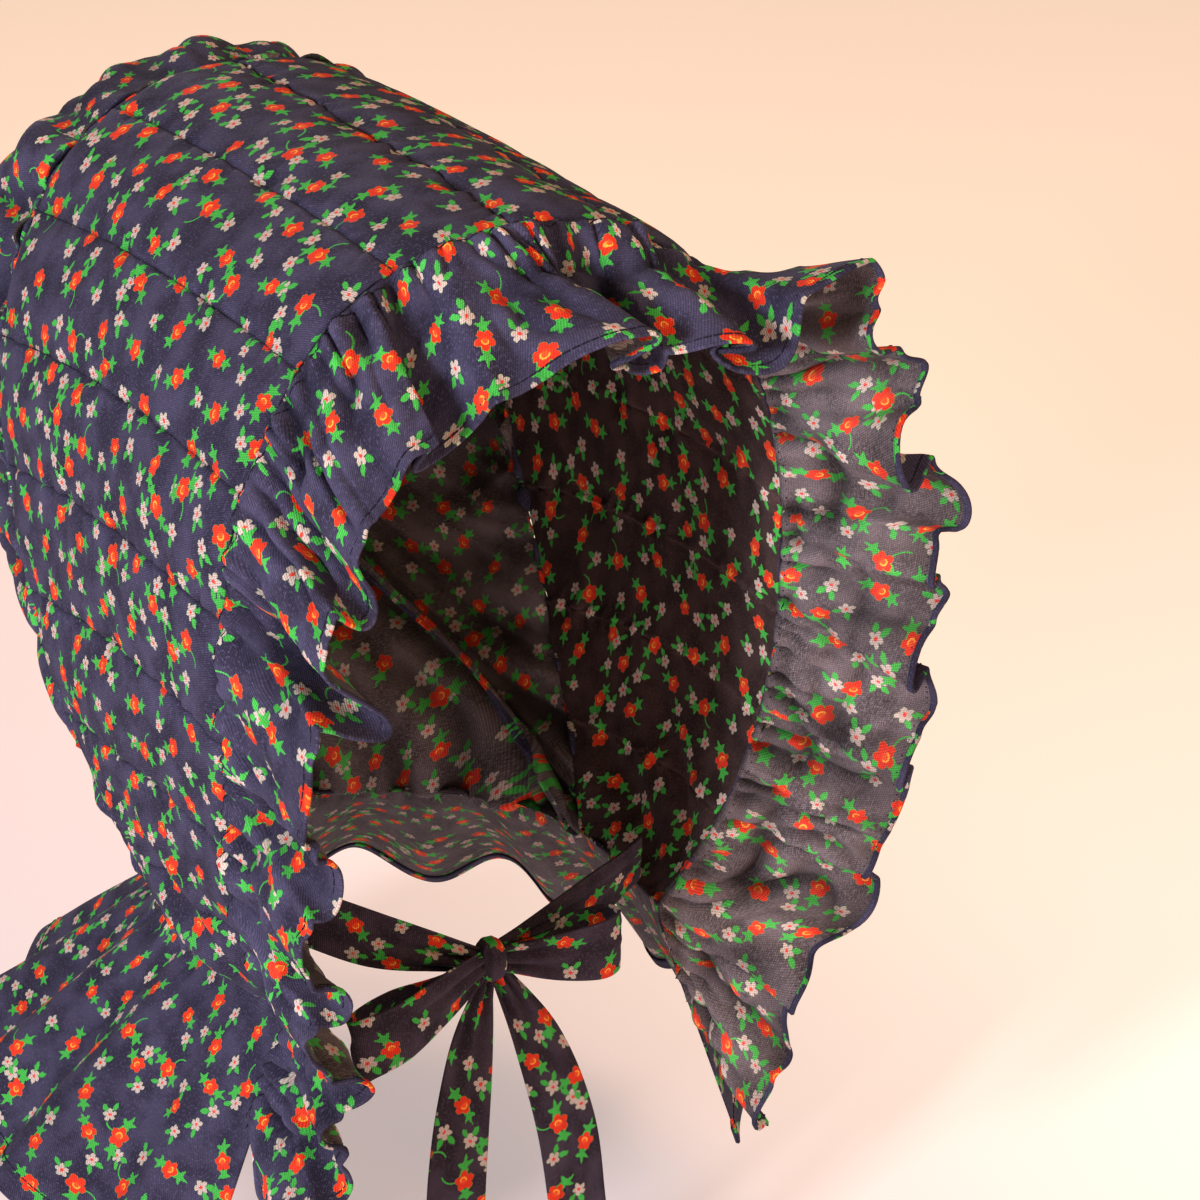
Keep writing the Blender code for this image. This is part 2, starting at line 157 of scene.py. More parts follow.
def even_line(points: Points, count: int) -> Points:
    """Space a line's points evenly, in a number of steps."""
    return spaced_line(points, np.linspace(0.0, 1.0, count + 1))


def smoothed(line: Points, window: int) -> Points:
    """Smooth a line, each point becoming the mean of those about it.

    Args:
        line: Points along the first axis.
        window: Odd number of points in each mean.

    Returns:
        As many points.
    """
    padded = np.pad(line, ((window // 2, window // 2), (0, 0)), "edge")
    kernel = np.ones(window) / window
    return np.array([np.convolve(axis, kernel, "valid") for axis in padded.T]).T


def grid_normals(grid: Points, closed: bool = False) -> Points:
    """Normals of a grid of points.

    Args:
        grid: Rows of points.
        closed: True if each row is a ring.

    Returns:
        A unit normal for each point.
    """
    if closed:
        around = np.roll(grid, -1, axis=1) - np.roll(grid, 1, axis=1)
    else:
        around = np.gradient(grid, axis=1)
    return unit(np.cross(np.gradient(grid, axis=0), around))


def facing_away(grid: Points, middle: Points, closed: bool = False) -> Points:
    """Normals of a grid on the side that faces away from a point inside it."""
    normals = grid_normals(grid, closed)
    return normals if np.sum(normals * (grid - middle)) > 0.0 else -normals


def refine(grid: Points, rows: int, columns: int, closed: bool = False) -> Points:
    """Draw a smooth finer grid through a coarse one.

    Args:
        grid: Rows of points.
        rows: Steps wanted down the grid.
        columns: Steps wanted along each row.
        closed: True if each row is a ring, which the finer row then closes.

    Returns:
        rows + 1 rows of columns + 1 points.
    """
    down = smooth_line(grid, np.linspace(0.0, 1.0, rows + 1))
    across = np.swapaxes(down, 0, 1)
    if not closed:
        return np.swapaxes(smooth_line(across, np.linspace(0.0, 1.0, columns + 1)), 0, 1)
    count = len(across)
    lapped = np.concatenate([across[-2:], across, across[:3]])
    places = (2.0 + np.linspace(0.0, count, columns + 1)) / (count + 4)
    return np.swapaxes(smooth_line(lapped, places), 0, 1)


def random_at(i: Points, j: Points, seed: float) -> Points:
    """Repeatable random numbers from 0 to 1 for whole grid places."""
    mixed = np.sin(i * 127.1 + j * 311.7 + seed * 74.7) * 43758.5453
    return mixed - np.floor(mixed)


def crumple(u: Points, v: Points, seed: float) -> Points:
    """Smooth random heights, as in soft creased cloth.

    Args:
        u: First coordinate, one unit for each crease.
        v: Second coordinate, one unit for each crease.
        seed: Picks the pattern.

    Returns:
        Heights from -1 to 1.
    """
    u, v = np.broadcast_arrays(np.asarray(u, float), np.asarray(v, float))
    i, j = np.floor(u), np.floor(v)
    s, t = u - i, v - j
    s, t = s * s * (3.0 - 2.0 * s), t * t * (3.0 - 2.0 * t)
    low = random_at(i, j, seed) * (1.0 - s) + random_at(i + 1.0, j, seed) * s
    high = random_at(i, j + 1.0, seed) * (1.0 - s) + random_at(i + 1.0, j + 1.0, seed) * s
    return 2.0 * (low * (1.0 - t) + high * t) - 1.0


def creased(u: Points, v: Points, seed: float) -> Points:
    """Random heights with sharp creases, from -1 in a crease to about 1 between creases."""
    return 1.0 - 2.0 * (1.0 - np.abs(crumple(u, v, seed))) ** 2.5


class ShaderSheet:
    """Writes nodes into one node tree."""

    def __init__(self, tree: bpy.types.NodeTree) -> None:
        """Take the tree that the nodes go into."""
        self.tree = tree

    def node(self, kind: str, inputs: dict | None = None, **settings: object) -> bpy.types.Node:
        """Add a node.

        Args:
            kind: Blender's name of the node type.
            inputs: Values or sockets for its inputs, by name or number.
            **settings: The node's own properties.

        Returns:
            The new node.
        """
        made = self.tree.nodes.new(kind)
        for name, value in settings.items():
            setattr(made, name, value)
        for name, value in (inputs or {}).items():
            self.feed(made.inputs[name], value)
        return made

    def feed(self, socket: bpy.types.NodeSocket, value: object) -> None:
        """Link a socket to another or give it a constant.

        Args:
            socket: The input to feed.
            value: A socket or a constant.
        """
        if isinstance(value, bpy.types.NodeSocket):
            self.tree.links.new(value, socket)
        else:
            socket.default_value = value

    def math(self, operation: str, *values: object) -> bpy.types.NodeSocket:
        """A Math node's result."""
        inputs = dict(enumerate(values))
        return self.node("ShaderNodeMath", inputs, operation=operation).outputs[0]

    def plus(self, first: object, second: object) -> bpy.types.NodeSocket:
        """One number plus another."""
        return self.math("ADD", first, second)

    def minus(self, first: object, second: object) -> bpy.types.NodeSocket:
        """One number less another."""
        return self.math("SUBTRACT", first, second)

    def times(self, first: object, second: object) -> bpy.types.NodeSocket:
        """One number times another."""
        return self.math("MULTIPLY", first, second)

    def vector(self, operation: str, *values: object) -> bpy.types.NodeSocket:
        """A Vector Math node's vector."""
        inputs = dict(enumerate(values))
        return self.node("ShaderNodeVectorMath", inputs, operation=operation).outputs["Vector"]

    def length(self, vector: object) -> bpy.types.NodeSocket:
        """A vector's length."""
        return self.node("ShaderNodeVectorMath", {0: vector}, operation="LENGTH").outputs["Value"]

    def scaled(self, vector: object, share: object) -> bpy.types.NodeSocket:
        """A vector times a number."""
        made = self.node("ShaderNodeVectorMath", {0: vector, "Scale": share}, operation="SCALE")
        return made.outputs["Vector"]

    def step(self, value: object, low: float, high: float) -> bpy.types.NodeSocket:
        """A smooth step from 0 at low to 1 at high."""
        made = self.node("ShaderNodeMapRange", {0: value, 1: low, 2: high, 3: 0.0, 4: 1.0},
                         interpolation_type="SMOOTHSTEP")
        return made.outputs[0]

    def falling(self, value: object, low: float, high: float) -> bpy.types.NodeSocket:
        """A smooth step from 1 at low to 0 at high."""
        return self.minus(1.0, self.step(value, low, high))

    def blend(self, share: object, first: object, second: object,
              mode: str = "MIX") -> bpy.types.NodeSocket:
        """Mix two colours.

        Args:
            share: Share of the second colour, from 0 to 1.
            first: First colour.
            second: Second colour.
            mode: Blender's name of the way to mix them.

        Returns:
            The mixed colour.
        """
        made = self.node("ShaderNodeMix", data_type="RGBA", blend_type=mode)
        for place, value in ((0, share), (6, first), (7, second)):
            self.feed(made.inputs[place], value)
        return made.outputs[2]

    def noise(self, vector: object, scale: float, detail: float = 2.0) -> bpy.types.NodeSocket:
        """Smooth noise from 0 to 1."""
        made = self.node("ShaderNodeTexNoise", {"Vector": vector, "Scale": scale, "Detail": detail})
        return made.outputs[0]

    def turned(self, vector: object, angle: object) -> bpy.types.NodeSocket:
        """A flat vector turned by an angle."""
        made = self.node("ShaderNodeVectorRotate", {"Vector": vector, "Angle": angle},
                         rotation_type="Z_AXIS")
        return made.outputs[0]

    def parts(self, vector: object) -> tuple[bpy.types.NodeSocket, ...]:
        """The three components of a vector."""
        return tuple(self.node("ShaderNodeSeparateXYZ", {0: vector}).outputs)

    def joined(self, x: object, y: object) -> bpy.types.NodeSocket:
        """A flat vector from its components."""
        return self.node("ShaderNodeCombineXYZ", {0: x, 1: y, 2: 0.0}).outputs[0]


@dataclass(frozen=True)
class PrintInks:
    """Colours of the printed cloth, and how strongly its other faces show the print; the lining's
    ground is painted shade.
    """

    navy: Colour = (0.035, 0.033, 0.066, 1.0)
    # A warm dark brown of painted shade, the ground of the lining and part of the ties' ground.
    painted_shade_ground: Colour = (0.034, 0.021, 0.022, 1.0)
    faded: Colour = (0.076, 0.063, 0.073, 1.0)
    red: Colour = (0.62, 0.036, 0.018, 1.0)
    orange: Colour = (0.76, 0.13, 0.028, 1.0)
    yellow: Colour = (0.86, 0.36, 0.05, 1.0)
    white: Colour = (0.44, 0.37, 0.35, 1.0)
    pink: Colour = (0.62, 0.05, 0.03, 1.0)
    green: Colour = (0.048, 0.36, 0.060, 1.0)
    undyed: Colour = (0.128, 0.110, 0.122, 1.0)
    sheen: Colour = (0.75, 0.78, 0.95, 1.0)
    wrong_cover: float = 0.88
    # Share of the print that shows on the lining, dimmed as painted shade.
    painted_shade_lining_cover: float = 0.95


@dataclass(frozen=True)
class RedFlower:
    """The red flower's sizes in millimetres from its middle."""

    petal_reach: float = 3.3
    petal_waist: float = 0.62
    heart: tuple[float, float, float] = (0.25, 0.2, 0.0)
    glow: tuple[float, float] = (0.4, 1.6)
    glow_share: float = 0.5
    crescent_radius: float = 1.0
    crescent_edge: tuple[float, float] = (0.08, 0.36)
    crescent_side: tuple[float, float] = (-0.4, 0.5)
    leaf_aside: float = 4.5
    leaf_rise: float = -0.5
    leaf_sag: float = 0.16
    leaf_radius: float = 2.75
    leaf_stretch: float = 0.78
    lobe_depth: float = 0.56
    nick_depth: float = 0.16
    nick_rate: float = 4.1
    lone_leaf_share: float = 0.28
    stem_middle: tuple[float, float, float] = (4.4, 3.6, 0.0)
    stem_radius: float = 3.9
    stem_edge: tuple[float, float] = (0.12, 0.34)
    stem_start: tuple[float, float] = (1.6, 2.2)
    stem_end: float = 3.2
    stemless_share: float = 0.72


@dataclass(frozen=True)
class WhiteFlower:
    """The white flower's sizes in millimetres from its middle."""

    petal_reach: float = 2.55
    petal_waist: float = 0.45
    middle: tuple[float, float] = (0.35, 0.8)
    leaf_turn: float = -0.55
    leaf_middle: float = 3.5
    leaf_half_length: float = 1.9
    leaf_half_width: float = 0.95


@dataclass(frozen=True)
class DitsyPrint:
    """The small flower print, as one node group on flat cloth coordinates in millimetres."""

    inks: PrintInks = PrintInks()
    red: RedFlower = RedFlower()
    white: WhiteFlower = WhiteFlower()
    pitch: float = 19.2
    scatter: float = 0.52
    extra_share: float = 0.42
    lattice_turn: float = 0.86
    shrink: float = 1.1
    shrink_spread: float = -0.22
    warp: float = 2.2
    warp_scale: float = 0.035
    soft: float = 0.16
    fray: float = 1.3
    fray_scale: float = 1.1

    def group(self) -> bpy.types.NodeTree:
        """Make the group with its coordinate in, and its ink colour and cover out.

        Returns:
            The node group.
        """
        tree = bpy.data.node_groups.new("ditsy_print", "ShaderNodeTree")
        tree.interface.new_socket("Cloth", in_out="INPUT", socket_type="NodeSocketVector")
        tree.interface.new_socket("Ink", in_out="OUTPUT", socket_type="NodeSocketColor")
        tree.interface.new_socket("Cover", in_out="OUTPUT", socket_type="NodeSocketFloat")
        sheet = ShaderSheet(tree)
        cloth = sheet.node("NodeGroupInput").outputs["Cloth"]
        drift = sheet.node("ShaderNodeTexNoise", {"Vector": cloth, "Scale": self.warp_scale})
        shift = sheet.vector("SUBTRACT", drift.outputs["Color"], (0.5, 0.5, 0.5))
        cloth = sheet.vector("ADD", cloth, sheet.scaled(shift, 2.0 * self.warp))
        fray = sheet.times(sheet.minus(sheet.noise(cloth, self.fray_scale), 0.5), self.fray)
        red_ink, red_cover = self.red_flowers(sheet, cloth, fray)
        white_ink, white_cover = self.white_flowers(sheet, cloth, fray, (0.5, 0.5), 1.0)
        extra_ink, extra_cover = self.white_flowers(sheet, cloth, fray, (0.5, 0.0),
                                                    self.extra_share)
        ink = sheet.blend(white_cover, extra_ink, white_ink)
        ink = sheet.blend(red_cover, ink, red_ink)
        cover = sheet.math("MAXIMUM", red_cover, sheet.math("MAXIMUM", white_cover, extra_cover))
        sheet.node("NodeGroupOutput", {"Ink": ink, "Cover": cover})
        return tree

    def places(self, sheet: ShaderSheet, cloth: object, shift: tuple[float, float]) -> tuple:
        """Scatter one kind of flower.

        Args:
            sheet: Where the nodes go.
            cloth: Cloth coordinate in millimetres.
            shift: Parts of a cell that the lattice is shifted by.

        Returns:
            The coordinate from the nearest flower's middle, turned with it, and two random
            numbers for that flower.
        """
        turned = sheet.turned(cloth, self.lattice_turn)
        cells = sheet.vector("ADD", sheet.scaled(turned, 1.0 / self.pitch), (*shift, 0.0))
        flat = sheet.vector("MULTIPLY", cells, (1.0, 1.0, 0.0))
        scatter = sheet.node("ShaderNodeTexVoronoi", {"Vector": flat, "Scale": 1.0,
                                                      "Randomness": self.scatter},
                             voronoi_dimensions="2D")
        local = sheet.vector("SUBTRACT", flat, scatter.outputs["Position"])
        first, second, third = sheet.parts(scatter.outputs["Color"])
        angle = sheet.times(first, 2.0 * math.pi)
        shrink = sheet.plus(sheet.times(second, self.shrink_spread), self.shrink)
        local = sheet.scaled(sheet.scaled(local, self.pitch), shrink)
        return sheet.turned(local, angle), second, third

    def petals(self, sheet: ShaderSheet, local: object, reach: float, waist: float,
               fray: object) -> bpy.types.NodeSocket:
        """Draw a flower of five round petals.

        Args:
            sheet: Where the nodes go.
            local: Coordinate from the flower's middle.
            reach: How far a petal reaches, in millimetres.
            waist: Share of that reach between two petals.
            fray: Small uneven edge in millimetres.

        Returns:
            Cover of the flower.
        """
        x, y, _ = sheet.parts(local)
        lobes = sheet.math("ABSOLUTE", sheet.math("COSINE", sheet.times(
            sheet.math("ARCTAN2", y, x), 2.5)))
        lobes = sheet.math("POWER", lobes, 0.7)
        edge = sheet.plus(sheet.times(lobes, reach * (1.0 - waist)), reach * waist)
        inside = sheet.plus(sheet.minus(edge, sheet.length(local)), fray)
        return sheet.step(inside, -self.soft, self.soft)

    def lobed_leaf(self, sheet: ShaderSheet, x: object, y: object,
                   fray: object) -> bpy.types.NodeSocket:
        """Draw a leaf with five pointed lobes.

        Args:
            sheet: Where the nodes go.
            x: Millimetres along the leaf from its middle.
            y: Millimetres across it.
            fray: Small uneven edge in millimetres.

        Returns:
            Cover of the leaf.
        """
        radius = self.red.leaf_radius
        along = sheet.times(x, self.red.leaf_stretch)
        gaps = sheet.math("ABSOLUTE", sheet.math("SINE", sheet.times(
            sheet.math("ARCTAN2", y, along), 2.5)))
        edge = sheet.plus(sheet.times(sheet.math("POWER", gaps, 1.1),
                                      -self.red.lobe_depth * radius), radius)
        inside = sheet.plus(sheet.minus(edge, sheet.length(sheet.joined(along, y))), fray)
        nick = sheet.math("SINE", sheet.times(sheet.plus(x, y), self.red.nick_rate))
        inside = sheet.plus(inside, sheet.times(nick, self.red.nick_depth))
        return sheet.step(inside, -self.soft, self.soft)

    def stem(self, sheet: ShaderSheet, local: object, second: object) -> bpy.types.NodeSocket:
        """Draw a red flower's bent stem.

        Args:
            sheet: Where the nodes go.
            local: Coordinate from the flower's middle.
            second: The flower's random number, which says whether it has a stem.

        Returns:
            Cover of the stem.
        """
        x, y, _ = sheet.parts(local)
        ring = sheet.length(sheet.vector("SUBTRACT", local, self.red.stem_middle))
        stem = sheet.math("ABSOLUTE", sheet.minus(ring, self.red.stem_radius))
        stem = sheet.falling(stem, *self.red.stem_edge)
        stem = sheet.times(stem, sheet.step(y, *self.red.stem_start))
        stem = sheet.times(stem, sheet.math("LESS_THAN", x, self.red.stem_end))
        return sheet.times(stem, sheet.math("GREATER_THAN", second, self.red.stemless_share))

    def red_flowers(self, sheet: ShaderSheet, cloth: object, fray: object) -> tuple:
        """Red flowers with an orange heart, lobed leaves and a bent stem.

        Args:
            sheet: Where the nodes go.
            cloth: Cloth coordinate in millimetres.
            fray: Small uneven edge in millimetres.

        Returns:
            Ink colour and cover.
        """
        local, second, third = self.places(sheet, cloth, (0.0, 0.0))
        x, y, _ = sheet.parts(local)
        folded = sheet.math("ABSOLUTE", x)
        sag = sheet.plus(y, sheet.times(folded, self.red.leaf_sag))
        leaves = self.lobed_leaf(sheet, sheet.minus(folded, self.red.leaf_aside),
                                 sheet.plus(sag, self.red.leaf_rise), fray)
        both = sheet.math("GREATER_THAN", third, self.red.lone_leaf_share)
        leaves = sheet.times(leaves, sheet.math("MAXIMUM", sheet.math("GREATER_THAN", x, 0.0), both))
        leaves = sheet.math("MAXIMUM", leaves, self.stem(sheet, local, second))
        petals = self.petals(sheet, local, self.red.petal_reach, self.red.petal_waist, fray)
        heart = sheet.length(sheet.vector("SUBTRACT", local, self.red.heart))
        glow = sheet.times(sheet.falling(sheet.plus(heart, fray), *self.red.glow),
                           self.red.glow_share)
        crescent = sheet.math("ABSOLUTE", sheet.minus(heart, self.red.crescent_radius))
        crescent = sheet.times(sheet.falling(crescent, *self.red.crescent_edge),
                               sheet.step(x, *self.red.crescent_side))
        ink = sheet.blend(petals, self.inks.green, self.inks.red)
        ink = sheet.blend(sheet.times(glow, petals), ink, self.inks.orange)
        ink = sheet.blend(sheet.times(crescent, petals), ink, self.inks.yellow)
        return ink, sheet.math("MAXIMUM", leaves, petals)

    def white_flowers(self, sheet: ShaderSheet, cloth: object, fray: object,
                      shift: tuple[float, float], share: float) -> tuple:
        """White flowers with a red middle and a pair of pointed leaves.

        Args:
            sheet: Where the nodes go.
            cloth: Cloth coordinate in millimetres.
            fray: Small uneven edge in millimetres.
            shift: Parts of a cell that their lattice is shifted by.
            share: Share of the lattice's places that have a flower.

        Returns:
            Ink colour and cover.
        """
        local, _, third = self.places(sheet, cloth, shift)
        grown = sheet.math("LESS_THAN", third, share)
        x, y, _ = sheet.parts(local)
        folded = sheet.joined(x, sheet.math("ABSOLUTE", y))
        along, aside, _ = sheet.parts(sheet.turned(folded, self.white.leaf_turn))
        bow = sheet.math("POWER", sheet.math("DIVIDE", sheet.minus(along, self.white.leaf_middle),
                                             self.white.leaf_half_length), 2.0)
        width = sheet.times(sheet.minus(1.0, bow), self.white.leaf_half_width)
        inside = sheet.minus(width, sheet.math("ABSOLUTE", aside))
        leaves = sheet.step(sheet.plus(inside, fray), -self.soft, self.soft)
        leaves = sheet.times(leaves, sheet.math("GREATER_THAN", along, 0.0))
        petals = self.petals(sheet, local, self.white.petal_reach, self.white.petal_waist, fray)
        middle = sheet.falling(sheet.plus(sheet.length(local), fray), *self.white.middle)
        ink = sheet.blend(petals, self.inks.green, self.inks.white)
        ink = sheet.blend(middle, ink, self.inks.pink)
        return ink, sheet.times(sheet.math("MAXIMUM", leaves, petals), grown)


@dataclass(frozen=True)
class Calico:
    """One finish of the printed cotton."""

    name: str
    face: Face
    print_group: bpy.types.NodeTree
    inks: PrintInks = PrintInks()
    # Share of the painted shade ground mixed into this finish's ground.
    painted_shade_share: float = 0.0
    # Gain on the threads' shade; above 1 it is painted light.
    shade: float = 1.0
    dark_gain: float = 0.62
    light_gain: float = 1.35
    thread_shade: float = 0.62
    mottle_scale: float = 0.075
    speck_gain: float = 2.1
    speck_share: float = 0.7
    weave_pitch: float = 0.74
    weave_depth: float = 0.24
    weave_shade: float = 1.5
    slub_scale: float = 0.55
    slub_depth: float = 0.36
    slub_rough: float = 0.12
    roughness: float = 0.86
    bump: float = 0.55
    # Painted shade in the creases and painted light on the ridges, drawn from the relief: for the
    # right face, and with the opposite sign for the other faces.
    painted_crease_shade: float = 0.34
    wrong_painted_crease_shade: float = -0.578

    def material(self) -> bpy.types.Material:
        """Make the material.

        Returns:
            The material, which reads the piece's own cloth coordinates and relief.
        """
        made = bpy.data.materials.new(self.name)
        made.use_nodes = True
        made.node_tree.nodes.clear()
        sheet = ShaderSheet(made.node_tree)
        cloth = sheet.scaled(sheet.node("ShaderNodeUVMap", uv_map="cloth").outputs[0], 1.0 / MM)
        printed = sheet.node("ShaderNodeGroup", node_tree=self.print_group)
        sheet.feed(printed.inputs["Cloth"], cloth)
        base = self.ground(sheet, cloth)
        cover = printed.outputs["Cover"]
        # The other faces show less of the print: print-through on the wrong face, painted shade on
        # the lining.
        if self.face is not Face.RIGHT:
            cover = sheet.times(cover, self.inks.wrong_cover if self.face is Face.WRONG
                                else self.inks.painted_shade_lining_cover)
        colour = sheet.blend(cover, base, printed.outputs["Ink"])
        weave = self.weave(sheet, cloth)
        grain = self.grain(sheet, cloth, weave)
        colour = sheet.blend(1.0, colour, sheet.node(
            "ShaderNodeCombineXYZ", {0: grain, 1: grain, 2: grain}).outputs[0], mode="MULTIPLY")
        slub = sheet.noise(cloth, self.slub_scale, 3.0)
        height = sheet.plus(sheet.times(weave, self.weave_depth),
                            sheet.times(slub, self.slub_depth))
        bump = sheet.node("ShaderNodeBump", {"Height": height, "Distance": MM,
                                             "Strength": self.bump})
        rough = sheet.plus(sheet.times(slub, self.slub_rough), self.roughness)
        shader = sheet.node("ShaderNodeBsdfPrincipled", {
            "Base Color": colour, "Roughness": rough, "Normal": bump.outputs[0],
            "Specular IOR Level": 0.08, "Sheen Weight": 0.07, "Sheen Roughness": 0.3,
            "Sheen Tint": self.inks.sheen})
        sheet.node("ShaderNodeOutputMaterial", {"Surface": shader.outputs[0]})
        return made

    def ground(self, sheet: ShaderSheet, cloth: object) -> bpy.types.NodeSocket:
        """Colour the cloth under the flowers, mottled and specked by wear, with painted shade as the
        lining's ground and in part of the ties' ground.

        Args:
            sheet: Where the nodes go.
            cloth: Cloth coordinate in millimetres.

        Returns:
            The ground's colour.
        """
        # The lining's ground is painted shade; the ties' ground is drawn part way towards it.
        dye_and_painted_shade = {Face.RIGHT: self.inks.navy, Face.WRONG: self.inks.faded,
                Face.LINING: self.inks.painted_shade_ground}[self.face][:3]
        dye_and_painted_shade = [cool + (warm - cool) * self.painted_shade_share for cool, warm in zip(dye_and_painted_shade, self.inks.painted_shade_ground)]
        dark, light, pale = ((*(channel * gain for channel in dye_and_painted_shade), 1.0)
                             for gain in (self.dark_gain, self.light_gain, self.speck_gain))
        mottle = sheet.noise(cloth, self.mottle_scale, 5.0)
        base = sheet.blend(sheet.step(mottle, 0.34, 0.66), dark, light)
        specks = sheet.noise(sheet.vector("MULTIPLY", cloth, (1.25, 0.95, 0.0)), 1.0, 3.0)
        specks = sheet.times(sheet.step(specks, 0.5, 0.72), self.speck_share)
        base = sheet.blend(specks, base, pale)
        if self.face is Face.WRONG:
            threads = sheet.noise(sheet.vector("MULTIPLY", cloth, (0.5, 2.6, 0.0)), 1.0, 3.0)
            base = sheet.blend(sheet.step(threads, 0.42, 0.72), base, self.inks.undyed)
        return base

    def grain(self, sheet: ShaderSheet, cloth: object, weave: object) -> bpy.types.NodeSocket:
        """Shade the threads, and paint shade into the creases and light onto the ridges.

        Args:
            sheet: Where the nodes go.
            cloth: Cloth coordinate in millimetres.
            weave: Height of the threads, from 0 to 1.

        Returns:
            A factor for the colour.
        """
        fleck = sheet.noise(sheet.vector("MULTIPLY", cloth, (1.0, 1.5, 0.0)), 1.6, 2.0)
        grain = sheet.times(weave, sheet.times(fleck, self.weave_shade))
        # A gain above 1 lightens the cloth as painted light.
        grain = sheet.plus(grain, self.thread_shade * self.shade)
        # Painted shade in the creases and painted light on the ridges, scaled by the piece's relief.
        relief = sheet.node("ShaderNodeAttribute", attribute_name="relief").outputs["Fac"]
        wear_and_painted_shade = self.painted_crease_shade if self.face is Face.RIGHT else self.wrong_painted_crease_shade
        return sheet.times(grain, sheet.plus(sheet.times(relief, wear_and_painted_shade), 1.0))

    def weave(self, sheet: ShaderSheet, cloth: object) -> bpy.types.NodeSocket:
        """Cross the threads with a slight twill slant.

        Args:
            sheet: Where the nodes go.
            cloth: Cloth coordinate in millimetres.

        Returns:
            Height of the threads, from 0 to 1.
        """
        x, y, _ = sheet.parts(cloth)
        rate = 2.0 * math.pi / self.weave_pitch
        warp = sheet.math("SINE", sheet.times(sheet.plus(x, sheet.times(y, 0.5)), rate))
        weft = sheet.math("SINE", sheet.times(y, rate * 1.1))
        return sheet.plus(sheet.plus(sheet.times(warp, 0.3), sheet.times(weft, 0.2)), 0.5)


@dataclass(frozen=True)
class SewingThread:
    """Navy cotton sewing thread."""

    colour: Colour = (0.010, 0.009, 0.018, 1.0)
    wear_and_painted_shade: Colour = (0.022, 0.020, 0.038, 1.0)
    twist_scale: float = 2600.0

    def material(self) -> bpy.types.Material:
        """Make the thread's material.

        Returns:
            The material.
        """
        made = bpy.data.materials.new("sewing_thread")
        made.use_nodes = True
        sheet = ShaderSheet(made.node_tree)
        place = sheet.node("ShaderNodeTexCoord").outputs["Object"]
        twist = sheet.noise(place, self.twist_scale)
        shader = made.node_tree.nodes["Principled BSDF"]
        sheet.feed(shader.inputs["Base Color"], sheet.blend(twist, self.colour, self.wear_and_painted_shade))
        sheet.feed(shader.inputs["Normal"], sheet.node(
            "ShaderNodeBump", {"Height": twist, "Distance": 0.05 * MM}).outputs[0])
        shader.inputs["Roughness"].default_value = 0.8
        shader.inputs["Specular IOR Level"].default_value = 0.1
        return made


@dataclass(frozen=True)
class Finishes:
    """Every finish of the bonnet."""

    right: dict[Slot, bpy.types.Material]
    wrong: dict[Slot, bpy.types.Material]
    lining: bpy.types.Material
    thread: bpy.types.Material

    @classmethod
    def make(cls) -> "Finishes":
        """Make the print once and each slot's two faces.

        Returns:
            The finishes.
        """
        print_group = DitsyPrint().group()
        # The ties take part of the painted shade ground into theirs.
        right = {slot: Calico(slot.value, Face.RIGHT, print_group,
                              painted_shade_share=0.6 if slot is Slot.TIE else 0.0).material()
                 for slot in Slot}
        wrong = {slot: Calico(slot.value + "_back", Face.WRONG, print_group).material()
                 for slot in Slot}
        # The lining pairs its painted shade ground with a painted light gain on its threads.
        lining = Calico("brim_lining", Face.LINING, print_group, shade=1.65).material()
        return cls(right, wrong, lining, SewingThread().material())


def lay_grid(mesh: bmesh.types.BMesh, points: Points) -> list[tuple[int, int]]:
    """Add a grid of faces to a mesh with its corners at a grid of points.

    Args:
        mesh: The mesh.
        points: Rows of points in millimetres.

    Returns:
        Row and column of each new corner, in the order of the mesh.
    """
    rows, columns = points.shape[0] - 1, points.shape[1] - 1
    made = bmesh.ops.create_grid(mesh, x_segments=columns, y_segments=rows, size=0.5)["verts"]
    places = (points - SEAT) * MM
    spots = [(round((vert.co.y + 0.5) * rows), round((vert.co.x + 0.5) * columns))
             for vert in made]
    for vert, spot in zip(made, spots):
        vert.co = places[spot]
        for face in vert.link_faces:
            face.smooth = True
    return spots


def placed(name: str, mesh: bmesh.types.BMesh,
           finishes: list[bpy.types.Material]) -> bpy.types.Object:
    """Put a finished mesh into the scene, at the origin.

    Args:
        name: The object's name.
        mesh: Its mesh, which is freed.
        finishes: Its materials, in the order of their slots.

    Returns:
        The new object.
    """
    data = bpy.data.meshes.new(name)
    mesh.to_mesh(data)
    mesh.free()
    made = bpy.data.objects.new(name, data)
    bpy.context.scene.collection.objects.link(made)
    for finish in finishes:
        data.materials.append(finish)
    return made


def stand_in(piece: bpy.types.Object, node: str) -> bpy.types.Object:
    """Fix a piece to the frame in its solid's stead.

    Args:
        piece: The finished piece.
        node: The solid that it stands for.

    Returns:
        The same piece.
    """
    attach(piece, "root")
    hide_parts(node)
    return piece


